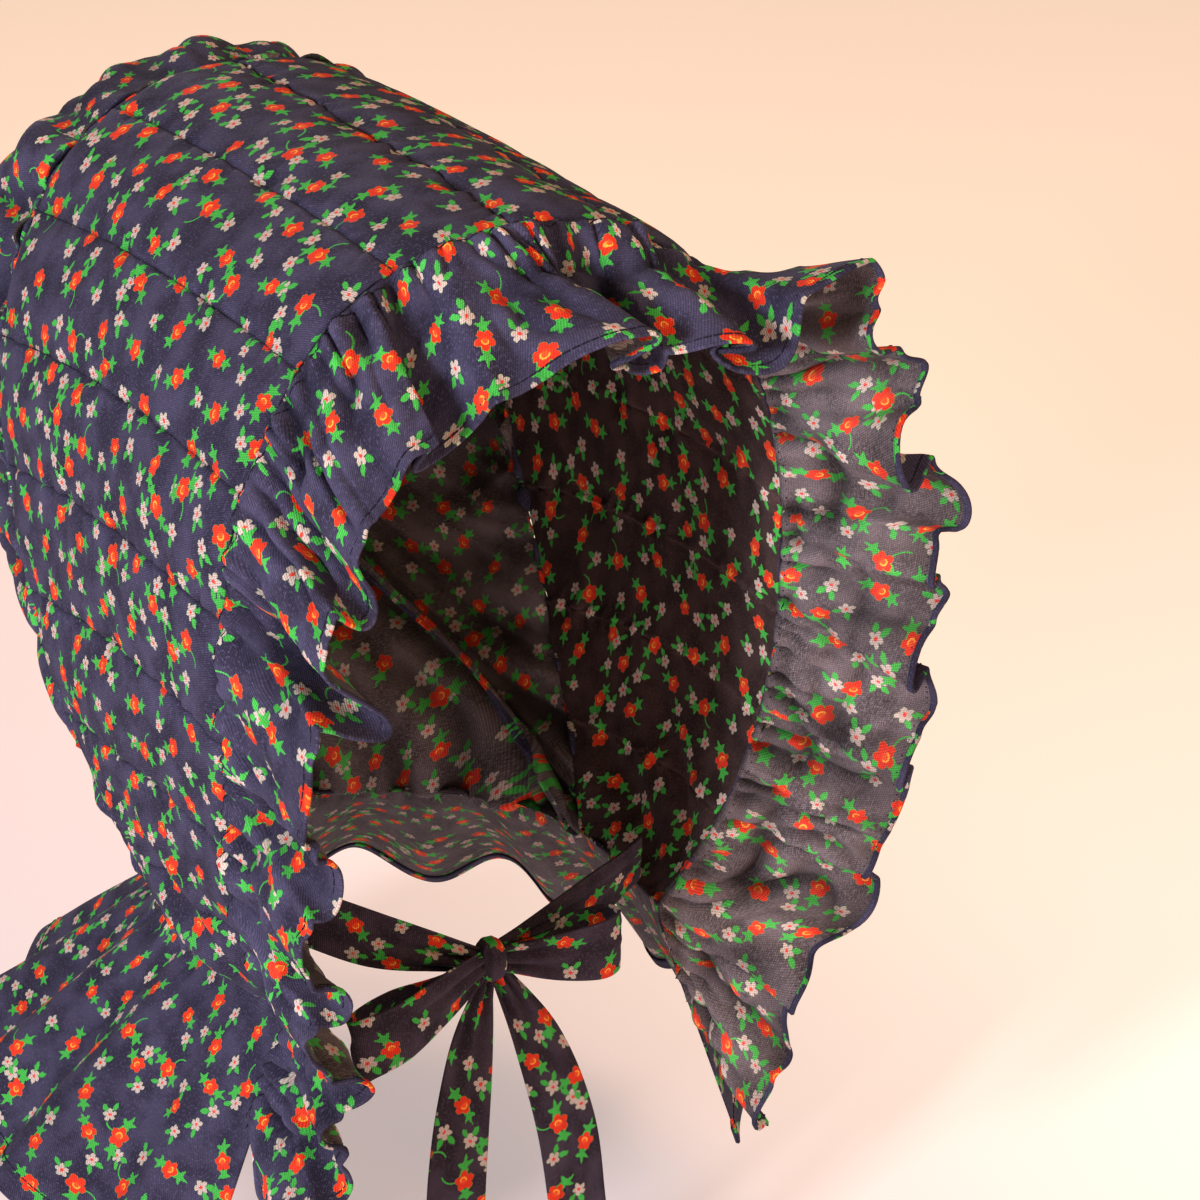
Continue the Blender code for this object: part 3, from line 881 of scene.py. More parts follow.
@dataclass
class Cloth:
    """A piece of cloth laid out as a grid of points with its flat cloth coordinates."""

    name: str
    node: str
    slot: Slot
    wall: float
    points: Points
    flat: Points
    away: Points
    closed: bool = False
    inner: Face = Face.WRONG
    loft: Points | None = None
    thinnest: float = 0.2
    # The relief is stored for the material's painted shade in creases and painted light on ridges;
    # full_relief gives the full amount.
    relief: Points | None = None
    full_relief: float = 2.4

    def make(self, finishes: Finishes) -> bpy.types.Object:
        """Build the mesh, thicken it and dress both faces.

        Args:
            finishes: The bonnet's finishes.

        Returns:
            The finished piece.
        """
        mesh = bmesh.new()
        spots = lay_grid(mesh, self.points)
        cloth = mesh.loops.layers.uv.new("cloth")
        mesh.verts.index_update()
        for face in mesh.faces:
            for loop in face.loops:
                loop[cloth].uv = self.flat[spots[loop.vert.index]] * MM
        if self.loft is not None:
            padding = mesh.verts.layers.deform.verify()
            for vert, spot in zip(mesh.verts, spots):
                vert[padding][0] = float(self.loft[spot])
        # Store the relief for painted shade in the creases and painted light on the ridges.
        if self.relief is not None:
            creases = mesh.verts.layers.float.new("relief")
            high = np.clip(self.relief / self.full_relief, -1.0, 1.0)
            for vert, spot in zip(mesh.verts, spots):
                vert[creases] = float(high[min(spot[0], len(high) - 1), spot[1]])
        if self.closed:
            bmesh.ops.remove_doubles(mesh, verts=mesh.verts, dist=1e-6)
        mesh.normal_update()
        centre = Vector((self.away - SEAT) * MM)
        outward = sum(face.normal.dot(face.calc_center_median() - centre) for face in mesh.faces)
        if outward < 0.0:
            bmesh.ops.reverse_faces(mesh, faces=mesh.faces)
        piece = placed(self.name, mesh, [finishes.right[self.slot], self.inner_finish(finishes)])
        shell = piece.modifiers.new("wall", "SOLIDIFY")
        shell.thickness = self.wall * MM
        shell.offset = 0.0
        shell.material_offset = 1
        shell.use_even_offset = False
        if self.loft is not None:
            shell.vertex_group = piece.vertex_groups.new(name="loft").name
            shell.thickness_vertex_group = self.thinnest
        return stand_in(piece, self.node)

    def inner_finish(self, finishes: Finishes) -> bpy.types.Material:
        """The finish of the cloth's inner face.

        Args:
            finishes: The bonnet's finishes.

        Returns:
            The finish.
        """
        if self.inner is Face.LINING:
            return finishes.lining
        return (finishes.wrong if self.inner is Face.WRONG else finishes.right)[self.slot]


def with_hem(points: Points, flat: Points, inward: Points, steps: int, gap: float) -> tuple:
    """Turn the last rows of a grid back over its inner face as a hem.

    Args:
        points: Rows of points, the free edge last.
        flat: Their flat cloth coordinates.
        inward: Unit normals towards the inner face.
        steps: Rows that the hem covers.
        gap: Space between the hem and the cloth under it.

    Returns:
        Points and flat coordinates with the hem's rows added.
    """
    edge_out = unit(points[-1] - points[-2])
    fold = points[-1] + edge_out * gap * 0.45 + inward[-1] * gap * 0.5
    rows, cloth = [points, fold[None]], [flat, flat[-1:]]
    width = np.linalg.norm(flat[-1] - flat[-2], axis=-1).mean()
    for step in range(steps):
        rows.append((points[-1 - step] + inward[-1 - step] * gap)[None])
        down = flat[-1:].copy()
        down[..., 1] += width * (step + 1)
        cloth.append(down)
    return np.concatenate(rows), np.concatenate(cloth)


@dataclass(frozen=True)
class Thread:
    """Machine stitching: thread that lies on the cloth and dips into it between stitches."""

    name: str
    node: str
    slot: Slot
    stitch: float = 2.9
    radius: float = 0.26
    dip: float = 0.8
    steps_each: int = 8
    sides: int = 5

    def line(self, points: Points, outward: Points, rise: float) -> Points:
        """One line of stitches as rings of points round the thread.

        Args:
            points: The line on the cloth's middle surface.
            outward: Unit normals there.
            rise: Height of the cloth's face over its middle.

        Returns:
            Rings of points along the thread.
        """
        length = lengths_along(points)[-1]
        stitches = max(1, int(length / self.stitch))
        count = stitches * self.steps_each
        places = np.linspace(0.0, 1.0, count + 1)
        fine = spaced_line(smooth_line(points, np.linspace(0.0, 1.0, 4 * len(points))), places)
        normal = unit(spaced_line(outward, places))
        wave = np.abs(np.sin(math.pi * stitches * places))
        lift = rise + self.radius * 0.5 - self.dip * (1.0 - np.minimum(1.0, wave * 1.6)) ** 2
        fine = fine + normal * lift[:, None]
        tangent = unit(np.gradient(fine, axis=0))
        side = unit(np.cross(tangent, normal))
        above = np.cross(side, tangent)
        turn = 2.0 * math.pi * np.arange(self.sides + 1) / self.sides
        ring = (side[:, None] * np.cos(turn)[None, :, None]
                + above[:, None] * np.sin(turn)[None, :, None])
        return fine[:, None] + ring * self.radius

    def make(self, lines: list[tuple[Points, Points]], rise: float,
             finishes: Finishes) -> bpy.types.Object:
        """Sew several lines.

        Args:
            lines: Each line's points and outward normals.
            rise: Height of the cloth's face over its middle.
            finishes: The bonnet's finishes.

        Returns:
            The finished piece.
        """
        mesh = bmesh.new()
        for points, outward in lines:
            lay_grid(mesh, self.line(points, outward, rise))
        bmesh.ops.remove_doubles(mesh, verts=mesh.verts, dist=1e-7)
        bmesh.ops.recalc_face_normals(mesh, faces=mesh.faces)
        return stand_in(placed(self.name, mesh, [finishes.thread]), self.node)


@dataclass(frozen=True)
class GatheredStrip:
    """A gathered strip of cloth with a turned hem on its free edge and stitched lines."""

    name: str
    thread_name: str
    node: str
    slot: Slot
    wall: float
    depth: float
    middle: tuple[float, float, float]
    hem_steps: int
    hem_gap: float
    rests_on: tuple[str, ...]
    length_share: float = 0.7

    def make(self, grid: Points, relief: Points, stitched: tuple[int, ...],
             finishes: Finishes) -> list[bpy.types.Object]:
        """Turn the hem, dress the strip and sew its lines.

        Args:
            grid: Rows of points from the seam to the free edge.
            relief: Height of the gathers at those points.
            stitched: Rows that are sewn, counted back from the free edge where below zero.
            finishes: The bonnet's finishes.

        Returns:
            The strip and its thread.
        """
        rows = len(grid) - 1
        run = lengths_along(grid[int(rows * self.length_share)])
        flat = np.stack(np.meshgrid(run, np.linspace(0.0, self.depth, rows + 1)), axis=-1)
        middle = np.array(self.middle)
        inward = -facing_away(grid, middle)
        points, flat = with_hem(grid, flat, inward, self.hem_steps, self.hem_gap)
        cloth = Cloth(self.name, self.node, self.slot, self.wall, points, flat, middle,
                      relief=relief)
        piece = cloth.make(finishes)
        thread = Thread(self.thread_name, self.node, self.slot)
        lines = [(grid[row], -inward[row]) for row in stitched]
        return [piece, thread.make(lines, 0.5 * self.wall, finishes)]


@dataclass(frozen=True)
class BrimShape:
    """The brim's horseshoe sections from the front seam back to the crown seam."""

    columns: tuple[str, ...] = ("ridge_y", "side_y", "corner_y", "ridge_z", "wide_z", "corner_z",
                                "half_width", "corner_x")
    sections: tuple[tuple[float, ...], ...] = (
        (-130.0, -130.0, -104.0, 0.0, -122.0, -252.0, 95.0, 66.0),
        (-66.0, -71.0, -84.0, 2.0, -121.0, -253.5, 95.5, 69.0),
        (-1.0, -13.0, -63.0, 3.0, -119.0, -254.5, 95.0, 72.0),
        (62.0, 44.0, -42.0, 1.0, -117.0, -255.0, 92.0, 73.0),
    )
    arch_power: float = 2.2
    arch_sweep: float = 2.0
    leg_power: float = 3.2
    leg_sweep: float = 1.6
    samples: int = 240

    def section(self, place: float, count: int) -> Points:
        """One section in a number of even steps."""
        return self.section_at(place, np.linspace(0.0, 1.0, count + 1))

    def section_at(self, place: float, shares: Points) -> Points:
        """One section from the right corner over the ridge to the left corner.

        Args:
            place: From 0 at the front seam to 1 at the crown seam.
            shares: Shares of the section's length.

        Returns:
            One point for each share.
        """
        values = smooth_line(np.array(self.sections), np.array([place]))[0]
        row = dict(zip(self.columns, values))
        angle = np.linspace(0.0, math.pi / 2.0, self.samples)
        reach = np.sin(angle) ** (2.0 / self.arch_power)
        rise = np.maximum(0.0, np.cos(angle)) ** (2.0 / self.arch_power)
        arch = np.stack([row["half_width"] * reach,
                         row["ridge_y"] + (row["side_y"] - row["ridge_y"])
                         * (1.0 - rise) ** self.arch_sweep,
                         row["wide_z"] + (row["ridge_z"] - row["wide_z"]) * rise], axis=1)
        step = np.linspace(0.0, 1.0, self.samples)[1:]
        leg = np.stack([row["half_width"] + (row["corner_x"] - row["half_width"])
                        * step ** self.leg_power,
                        row["side_y"] + (row["corner_y"] - row["side_y"]) * step ** self.leg_sweep,
                        row["wide_z"] + (row["corner_z"] - row["wide_z"]) * step], axis=1)
        half = np.vstack([arch, leg])
        return spaced_line(np.vstack([half[:0:-1] * MIRROR, half]), shares)


@dataclass
class Brim:
    """The quilted brim: a padded tube with stitched channels running back."""

    shape: BrimShape = BrimShape()
    channels: int = 16
    columns_each: int = 18
    crowding: float = 1.8
    rows: int = 126
    wall: float = 3.8
    puff: float = 1.5
    roundness: float = 0.52
    edge_share: float = 0.05
    pull_reach: float = 5.5
    pucker: float = 1.05
    pucker_pitch: float = 6.5
    fine_pucker: float = 0.35
    fine_pucker_pitch: float = 2.6
    crease: float = 0.45
    swell: float = 0.9
    # Depth of the painted shade along each stitched line; it goes into the relief, not the shape.
    painted_groove_shade: float = 2.0
    middle: tuple[float, float, float] = (0.0, -40.0, -120.0)
    drag_columns: tuple[str, ...] = ("side", "start_s", "start_u", "end_s", "end_u", "height",
                                     "width")
    drags: tuple[tuple[float, ...], ...] = (
        (-1.0, 0.02, 0.96, 0.55, 0.78, 3.2, 0.030),
        (-1.0, 0.05, 0.99, 0.80, 0.90, 3.6, 0.028),
        (-1.0, 0.30, 0.99, 0.90, 0.80, 2.6, 0.034),
        (1.0, 0.02, 0.96, 0.50, 0.80, 3.0, 0.030),
        (1.0, 0.08, 0.99, 0.80, 0.90, 3.2, 0.030),
    )

    def shares(self) -> Points:
        """Place the columns closer together beside each stitched line.

        Returns:
            Shares across the brim, from 0 at its right corner to 1 at its left.
        """
        half = np.linspace(0.0, 1.0, self.columns_each // 2 + 1) ** self.crowding * 0.5
        cell = np.concatenate([half[:-1], 1.0 - half[:0:-1]])
        every = np.arange(self.channels)[:, None] + cell
        return np.append(every.ravel(), self.channels) / self.channels

    def padding(self, place: Points, share: Points) -> Points:
        """How full the padding is, from 0 on a stitched line to 1 between lines.

        Args:
            place: From 0 at the front seam to 1 at the crown seam.
            share: From 0 at the right corner to 1 at the left corner.

        Returns:
            Fullness from 0 to 1.
        """
        across = np.abs(np.sin(math.pi * share * self.channels)) ** self.roundness
        edge = np.clip(np.minimum(place, 1.0 - place) / self.edge_share, 0.0, 1.0)
        return across * np.sin(edge * math.pi / 2.0) ** 0.8

    def heights(self, place: Points, share: Points, travel: Points,
                depth: Points) -> tuple[Points, Points]:
        """Height of quilting, puckers and soft folds over the middle surface.

        Args:
            place: From 0 at the front seam to 1 at the crown seam.
            share: From 0 at the right corner to 1 at the left corner.
            travel: Millimetres along the section.
            depth: Millimetres back from the front seam.

        Returns:
            Heights in millimetres, and the relief of the puckers, lowered along each stitched line to
            paint shade there in the colour only.
        """
        channel = share * self.channels
        line = np.round(channel)
        off_line = np.abs(channel - line) * travel.max() / self.channels
        pull = np.exp(-(off_line / self.pull_reach) ** 2) * np.clip(off_line / 0.8, 0.0, 1.0)
        slant = depth / self.pucker_pitch + off_line / 9.0
        puckers = self.pucker * creased(slant, line * 7.3, 3.0) * pull
        fine = crumple(depth / self.fine_pucker_pitch, line * 5.1 + off_line / 4.0, 4.0)
        puckers += self.fine_pucker * fine * pull
        puckers += self.crease * creased(travel / 17.0 + depth / 40.0, depth / 26.0, 6.0)
        height = puckers + self.puff * self.padding(place, share)
        height += self.swell * crumple(travel / 30.0, depth / 42.0, 5.0)
        for row in self.drags:
            fold = dict(zip(self.drag_columns, row))
            run = (place - fold["start_s"]) / (fold["end_s"] - fold["start_s"])
            centre = fold["start_u"] + (fold["end_u"] - fold["start_u"]) * run
            across = 2.0 * share - 1.0
            shape = np.exp(-((np.abs(across) - centre) / fold["width"]) ** 2)
            held = np.sin(math.pi * np.clip(run, 0.0, 1.0)) ** 0.7
            height += np.where(np.sign(across) == fold["side"], fold["height"] * shape * held, 0.0)
        # The relief's dip along the stitched lines only paints shade in the colour.
        return height, puckers - self.painted_groove_shade * np.exp(-(off_line / 1.2) ** 2)

    def build(self, finishes: Finishes) -> list[bpy.types.Object]:
        """Build the brim and the thread of its quilting.

        Args:
            finishes: The bonnet's finishes.

        Returns:
            The finished pieces.
        """
        shares = self.shares()
        places = np.linspace(0.0, 1.0, self.rows + 1)
        grid = np.array([self.shape.section_at(place, shares) for place in places])
        travel = np.broadcast_to(lengths_along(grid[self.rows // 2]), grid.shape[:2])
        depth = np.array([lengths_along(column) for column in np.swapaxes(grid, 0, 1)]).T
        place = np.broadcast_to(places[:, None], grid.shape[:2])
        share = np.broadcast_to(shares, grid.shape[:2])
        loft = self.padding(place, share)
        middle = np.array(self.middle)
        heights, puckers = self.heights(place, share, travel, depth)
        grid = grid + facing_away(grid, middle) * heights[..., None]
        flat = np.stack([travel, depth], axis=-1)
        cloth = Cloth("brim_quilted", "brim", Slot.QUILTED, self.wall, grid, flat, middle,
                      inner=Face.LINING, loft=loft, relief=puckers)
        piece = cloth.make(finishes)
        outward = facing_away(grid, middle)
        rise = 0.5 * self.wall * cloth.thinnest
        lines = [self.columns_each * line for line in range(1, self.channels)]
        thread = Thread("quilting_thread", "brim", Slot.QUILTED)
        sewn = thread.make([(grid[:, line], outward[:, line]) for line in lines], rise, finishes)
        return [piece, sewn]


@dataclass
class Ruffle:
    """The gathered ruffle round the opening, sewn to the brim's front edge."""

    shape: BrimShape = BrimShape()
    strip: GatheredStrip = GatheredStrip(
        "ruffle_gathered", "ruffle_thread", "front_ruffle", Slot.RUFFLE, wall=0.55, depth=52.0,
        middle=(0.0, -150.0, -130.0), hem_steps=2, hem_gap=0.85, rests_on=("brim_quilted",))
    stitched: tuple[int, ...] = (2, -3)
    rows: int = 40
    columns: int = 1080
    path_steps: int = 192
    oversample: int = 4
    smoothing: int = 9
    turning: int = 73
    behind_seam: float = 0.6
    tail: tuple[tuple[float, ...], ...] = (
        (68.5, -103.6, -259.0),
        (74.0, -102.8, -275.0),
        (81.0, -101.8, -294.0),
    )
    lie_columns: tuple[str, ...] = ("place", "forward", "outward", "down", "gather")
    lie: tuple[tuple[float, ...], ...] = (
        (-1.00, 0.80, 0.20, 0.45, 1.2),
        (-0.75, 0.97, 0.00, 0.22, 1.3),
        (-0.50, 0.97, -0.12, 0.22, 1.2),
        (-0.25, 0.84, -0.10, 0.48, 1.3),
        (0.00, 0.70, 0.00, 0.60, 1.7),
        (0.12, 0.80, 0.00, 0.36, 1.5),
        (0.21, 0.84, 0.50, 0.07, -0.8),
        (0.34, 0.84, 0.54, 0.00, -1.5),
        (0.55, 0.80, 0.58, 0.05, -1.6),
        (0.72, 0.60, 0.78, 0.00, -1.6),
        (0.80, 0.55, 0.95, -0.28, -1.6),
        (0.86, 0.55, 0.75, 0.15, -1.6),
        (0.92, 0.50, 0.45, 0.70, -1.4),
        (1.00, 0.45, 0.35, 0.95, -1.2),
    )
    fold_columns: tuple[str, ...] = ("width", "height", "lean", "roll", "longer")
    folds: tuple[tuple[float, ...], ...] = (
        (22.0, 7.0, 2.0, 2.0, 0.0),
        (18.0, -9.0, -3.0, 2.0, 1.0),
        (24.0, 7.0, 3.0, 3.0, 0.0),
        (16.0, -10.0, -3.0, 2.0, 1.0),
        (24.0, 6.0, 3.0, 3.0, 0.0),
        (16.0, -12.0, -6.0, 4.0, 0.0),
        (22.0, 5.0, 2.0, 2.0, 0.0),
        (22.0, -9.0, -3.0, 5.0, 0.0),
        (40.0, 6.0, -8.0, 5.0, 0.0),
        (22.0, -23.0, -11.0, 2.0, 3.0),
        (18.0, 2.0, 0.0, 0.0, 0.0),
        (22.0, -14.0, -6.0, 2.0, 3.0),
        (20.0, 2.0, 0.0, 0.0, 0.0),
        (24.0, 3.0, 2.0, 0.0, -1.0),
        (26.0, -16.0, -11.0, 7.0, -2.0),
        (38.0, 15.0, 21.0, 6.0, 0.0),
        (14.0, -14.0, 9.0, 3.0, -5.0),
        (17.0, 12.0, 11.0, 3.0, 5.0),
        (20.0, -16.0, 3.0, 9.0, 0.0),
        (27.0, 5.0, 3.0, 2.0, 5.0),
        (16.0, -11.0, -3.0, 2.0, 0.0),
        (16.0, 5.0, 0.0, 0.0, 3.0),
        (18.0, -16.0, 5.0, 8.0, -3.0),
        (22.0, 6.0, 6.0, 3.0, 8.0),
        (12.0, -9.0, 4.0, 1.0, 2.0),
        (12.0, 5.0, 0.0, 0.0, 2.0),
        (14.0, -13.0, 6.0, 5.0, -1.0),
        (24.0, 5.0, 3.0, 1.0, 2.0),
        (14.0, -12.0, 6.0, 4.0, -1.0),
        (30.0, 5.0, 2.0, 2.0, 1.0),
        (12.0, -7.0, 4.0, 2.0, 0.0),
        (28.0, 6.0, 3.0, 2.0, 11.0),
        (14.0, -9.0, 4.0, 3.0, 3.0),
        (22.0, 7.0, 3.0, 2.0, 2.0),
        (17.0, -8.0, 3.0, 2.0, 0.0),
    )
    fold_sharpness: float = 1.3
    fold_growth: float = 0.85
    roll_growth: float = 1.4
    pleat: float = 1.3
    pleat_pitch: float = 2.4
    gather: float = 2.0
    gather_pitch: float = 5.5
    broad_pitch: float = 10.0
    slack: float = 0.9
    slack_pitch: float = 15.0
    flutter: float = 1.1
    flutter_pitch: float = 8.0
    seam_puff: float = 1.3

    def path(self) -> Points:
        """Follow the brim's front seam and run on below its corners.

        Returns:
            The line that the ruffle is sewn on, from the right tail to the left.
        """
        seam = self.shape.section(0.0, self.shape.samples)
        tail = np.array(self.tail)
        line = np.vstack([tail[::-1] * MIRROR, seam, tail])
        line = smoothed(even_line(line, self.path_steps * self.oversample), self.smoothing)
        line = even_line(line, self.path_steps)
        return smooth_line(line, np.linspace(0.0, 1.0, self.columns + 1))

    def free_edge(self, travel: Points) -> tuple[Points, Points, Points]:
        """How the large folds move the free edge.

        Args:
            travel: Millimetres along the seam.

        Returns:
            Shift along the seam, height over the plain ruffle and extra reach, in columns.
        """
        folds = dict(zip(self.fold_columns, np.array(self.folds).T))
        starts = np.concatenate([[0.0], np.cumsum(folds["width"])])
        starts *= travel[-1] / starts[-1]
        which = np.searchsorted(starts, travel, side="right") - 1
        which = np.clip(which, 0, len(self.folds) - 1)
        fold = {name: column[which] for name, column in folds.items()}
        turn = 2.0 * math.pi * (travel - starts[which]) / (starts[which + 1] - starts[which])
        rise = (1.0 - np.cos(turn)) / 2.0
        along = fold["lean"] * rise - 1.5 * fold["roll"] * np.sin(turn) * rise
        height = fold["height"] * rise ** self.fold_sharpness
        return along[:, None], height[:, None], (fold["longer"] * rise)[:, None]

    def gathers(self, travel: Points, share: float, strength: Points) -> Points:
        """Height of the small gathers that run out from the seam.

        Args:
            travel: Millimetres along the seam.
            share: From 0 at the seam to 1 at the free edge.
            strength: How full the gathers are along the seam, as a column.

        Returns:
            Heights in millimetres.
        """
        sway = 0.8 * crumple(travel / 40.0, share * 1.5, 14.0)
        middle = math.sin(math.pi * min(1.0, 0.12 + share * 0.95)) ** 0.8
        height = self.pleat * math.exp(-share / 0.14) * crumple(
            travel / self.pleat_pitch, share * 2.0, 11.0)
        height = height + self.gather * math.exp(-share / 0.5) * creased(
            travel / self.gather_pitch + sway, share, 15.0)
        height += self.gather * middle * creased(
            travel / self.broad_pitch + 2.0 * sway, share * 1.4, 12.0)
        height += self.slack * middle * creased(
            travel / self.slack_pitch + 3.0 * share, share * 4.5, 16.0)
        height += self.flutter * share * crumple(travel / self.flutter_pitch, share * 2.0, 13.0)
        puff = self.seam_puff * math.exp(-((share - 0.09) / 0.06) ** 2)
        return (height[:, None] * strength + puff) * min(1.0, share / 0.05)

    def build(self, finishes: Finishes) -> list[bpy.types.Object]:
        """Build the ruffle with its gathers, its turned hem and its stitching.

        Args:
            finishes: The bonnet's finishes.

        Returns:
            The finished pieces.
        """
        path = self.path()
        tangent = unit(np.gradient(path, axis=0))
        general = unit(smoothed(tangent, self.turning))
        forward = unit(AHEAD - general * (general @ AHEAD)[:, None])
        outward = unit(np.cross(forward, general))
        travel = lengths_along(path)
        places = np.linspace(-1.0, 1.0, len(path))
        lie = dict(zip(self.lie_columns, np.array(self.lie).T))
        ahead, aside, down, strength = (np.interp(places, lie["place"], lie[name])[:, None]
                                        for name in self.lie_columns[1:])
        reach = unit(ahead * forward + aside * outward - down * UP)
        across = unit(np.cross(reach, general))
        along, height, longer = self.free_edge(travel)
        rows, relief = [], []
        for share in np.linspace(0.0, 1.0, self.rows + 1):
            line = path - forward * self.behind_seam + reach * (self.strip.depth + longer) * share
            gathers = self.gathers(travel, share, strength)
            rows.append(line + across * (height * share ** self.fold_growth + gathers)
                        + tangent * along * share ** self.roll_growth)
            relief.append(gathers[:, 0])
        return self.strip.make(np.array(rows), np.array(relief), self.stitched, finishes)


@dataclass
class Crown:
    """The puffed crown, gathered into the brim's rear edge and the neckline."""

    shape: BrimShape = BrimShape()
    wall: float = 0.9
    rows: int = 60
    columns: int = 450
    pole: tuple[float, float, float] = (0.0, 124.0, -112.0)
    middle: tuple[float, float, float] = (0.0, 50.0, -120.0)
    nape_half: tuple[tuple[float, ...], ...] = (
        (73.0, -42.0, -255.0),
        (70.0, -12.0, -259.0),
        (56.0, 18.0, -263.0),
        (31.0, 40.0, -265.0),
        (0.0, 48.0, -265.0),
    )
    arch_columns: int = 66
    nape_columns: int = 24
    rings: int = 6
    before_seam: float = 0.97
    seam_gap: float = 0.1
    straight: float = 3.0
    arch_pull: float = 62.0
    nape_pull: float = 66.0
    puff_above: float = 0.30
    puff_drop: float = 0.40
    puff_height: float = 95.0
    pole_share: float = 0.62
    corner_columns: int = 13
    folds: float = 30.0
    fold_height: float = 1.5
    pleat: float = 1.3
    pleat_columns: float = 2.5
    gather: float = 3.0
    gather_columns: float = 5.0
    slack: float = 2.2
    slack_columns: float = 13.0
    round_row: float = 0.75

    def edge(self) -> tuple[Points, Points, Points]:
        """The crown's edge with the way that the cloth leaves it.

        Returns:
            Edge points, leading directions, and outward directions on the neckline.
        """
        arch = self.shape.section(1.0, self.arch_columns)
        arch_lead = unit(arch - self.shape.section(self.before_seam, self.arch_columns))
        half = np.array(self.nape_half)
        nape = np.vstack([half, half[-2::-1] * MIRROR])
        nape = even_line(smooth_line(nape, np.linspace(0.0, 1.0, self.shape.samples)),
                         self.nape_columns)[1:-1]
        outward = unit(nape * np.array([1.0, 1.0, 0.0]))
        nape_lead = np.tile(UP, (len(nape), 1))
        return (np.vstack([arch + arch_lead * self.seam_gap, nape]),
                np.vstack([arch_lead, nape_lead]), np.vstack([np.zeros_like(arch), outward]))

    def rough_rings(self) -> Points:
        """Puff the crown out from its edge and draw it in to its pole.

        Returns:
            Its plain rings of points.
        """
        edge, lead, rise = self.edge()
        pole = np.array(self.pole)
        count = len(edge)
        radial = (edge - pole) * np.array([1.0, 0.0, 1.0])
        spread = unit(radial)
        start = edge + lead * self.straight
        low = np.clip((edge[:, 2:3] + self.puff_height) / -self.puff_height, 0.0, 1.0)
        puff = self.puff_above - self.puff_drop * low
        arch_pull = unit(lead + spread * puff) * self.arch_pull
        nape_pull = (rise * 0.30 + lead * 0.95) * self.nape_pull
        window = np.ones(self.corner_columns) / self.corner_columns
        on_nape = np.linalg.norm(rise, axis=1)
        mix = np.convolve(np.tile(on_nape, 3), window, "same")[count:2 * count, None]
        pull = arch_pull * (1.0 - mix) + nape_pull * mix
        near_pole = pole + spread * np.linalg.norm(radial, axis=1, keepdims=True) * self.pole_share
        rings = [edge]
        for t in np.linspace(0.0, 1.0, self.rings + 1)[:-1]:
            rings.append((1.0 - t) ** 3 * start + 3.0 * (1.0 - t) ** 2 * t * (start + pull)
                         + 3.0 * (1.0 - t) * t * t * near_pole + t ** 3 * pole)
        rings = np.array(rings)
        for ring in range(2, len(rings)):
            for _ in range(3 * ring):
                beside = np.roll(rings[ring], 1, axis=0) + np.roll(rings[ring], -1, axis=0)
                rings[ring] = 0.5 * rings[ring] + 0.25 * beside
        return np.concatenate([rings, np.tile(pole, (1, count, 1))])

    def build(self, finishes: Finishes) -> list[bpy.types.Object]:
        """Build the crown with its gathers.

        Args:
            finishes: The bonnet's finishes.

        Returns:
            The finished piece.
        """
        grid = refine(self.rough_rings(), self.rows, self.columns, closed=True)
        middle = np.array(self.middle)
        normals = facing_away(grid[:, :-1], middle, closed=True)
        normals = np.concatenate([normals, normals[:, :1]], axis=1)
        t = np.linspace(0.0, 1.0, self.rows + 1)[:, None]
        around = np.linspace(0.0, 1.0, self.columns + 1)[None, :]
        held = np.sin(math.pi * t ** 0.5)
        wave = 2.0 * math.pi * (self.folds * around + 0.5 * np.sin(9.0 * t))
        broad = self.fold_height * held * np.sin(wave)
        turn = np.arange(self.columns + 1) % self.columns
        fine = self.pleat * np.exp(-t / 0.10) * crumple(turn / self.pleat_columns, t * 6.0, 21.0)
        fine = fine + self.gather * np.exp(-t / 0.28) * creased(
            turn / self.gather_columns, t * 2.0, 22.0)
        fine = fine + self.slack * held * creased(turn / self.slack_columns, t * 3.0, 23.0)
        fine[:, -1] = fine[:, 0]
        grid = grid + normals * ((broad + fine) * np.clip(t / 0.04, 0.0, 1.0))[..., None]
        grid[-1] = grid[-1].mean(axis=0)
        depth = np.array([lengths_along(column) for column in np.swapaxes(grid, 0, 1)]).T
        radius = depth[-1] - depth
        ring = grid[int(self.rows * self.round_row)] - grid[-1]
        heading = unit(ring[:, [0, 2]])
        flat = radius[..., None] * heading
        cloth = Cloth("crown_gathered", "crown", Slot.CROWN, self.wall, grid, flat, middle,
                      closed=True, relief=broad + fine)
        piece = cloth.make(finishes)
        return [piece]


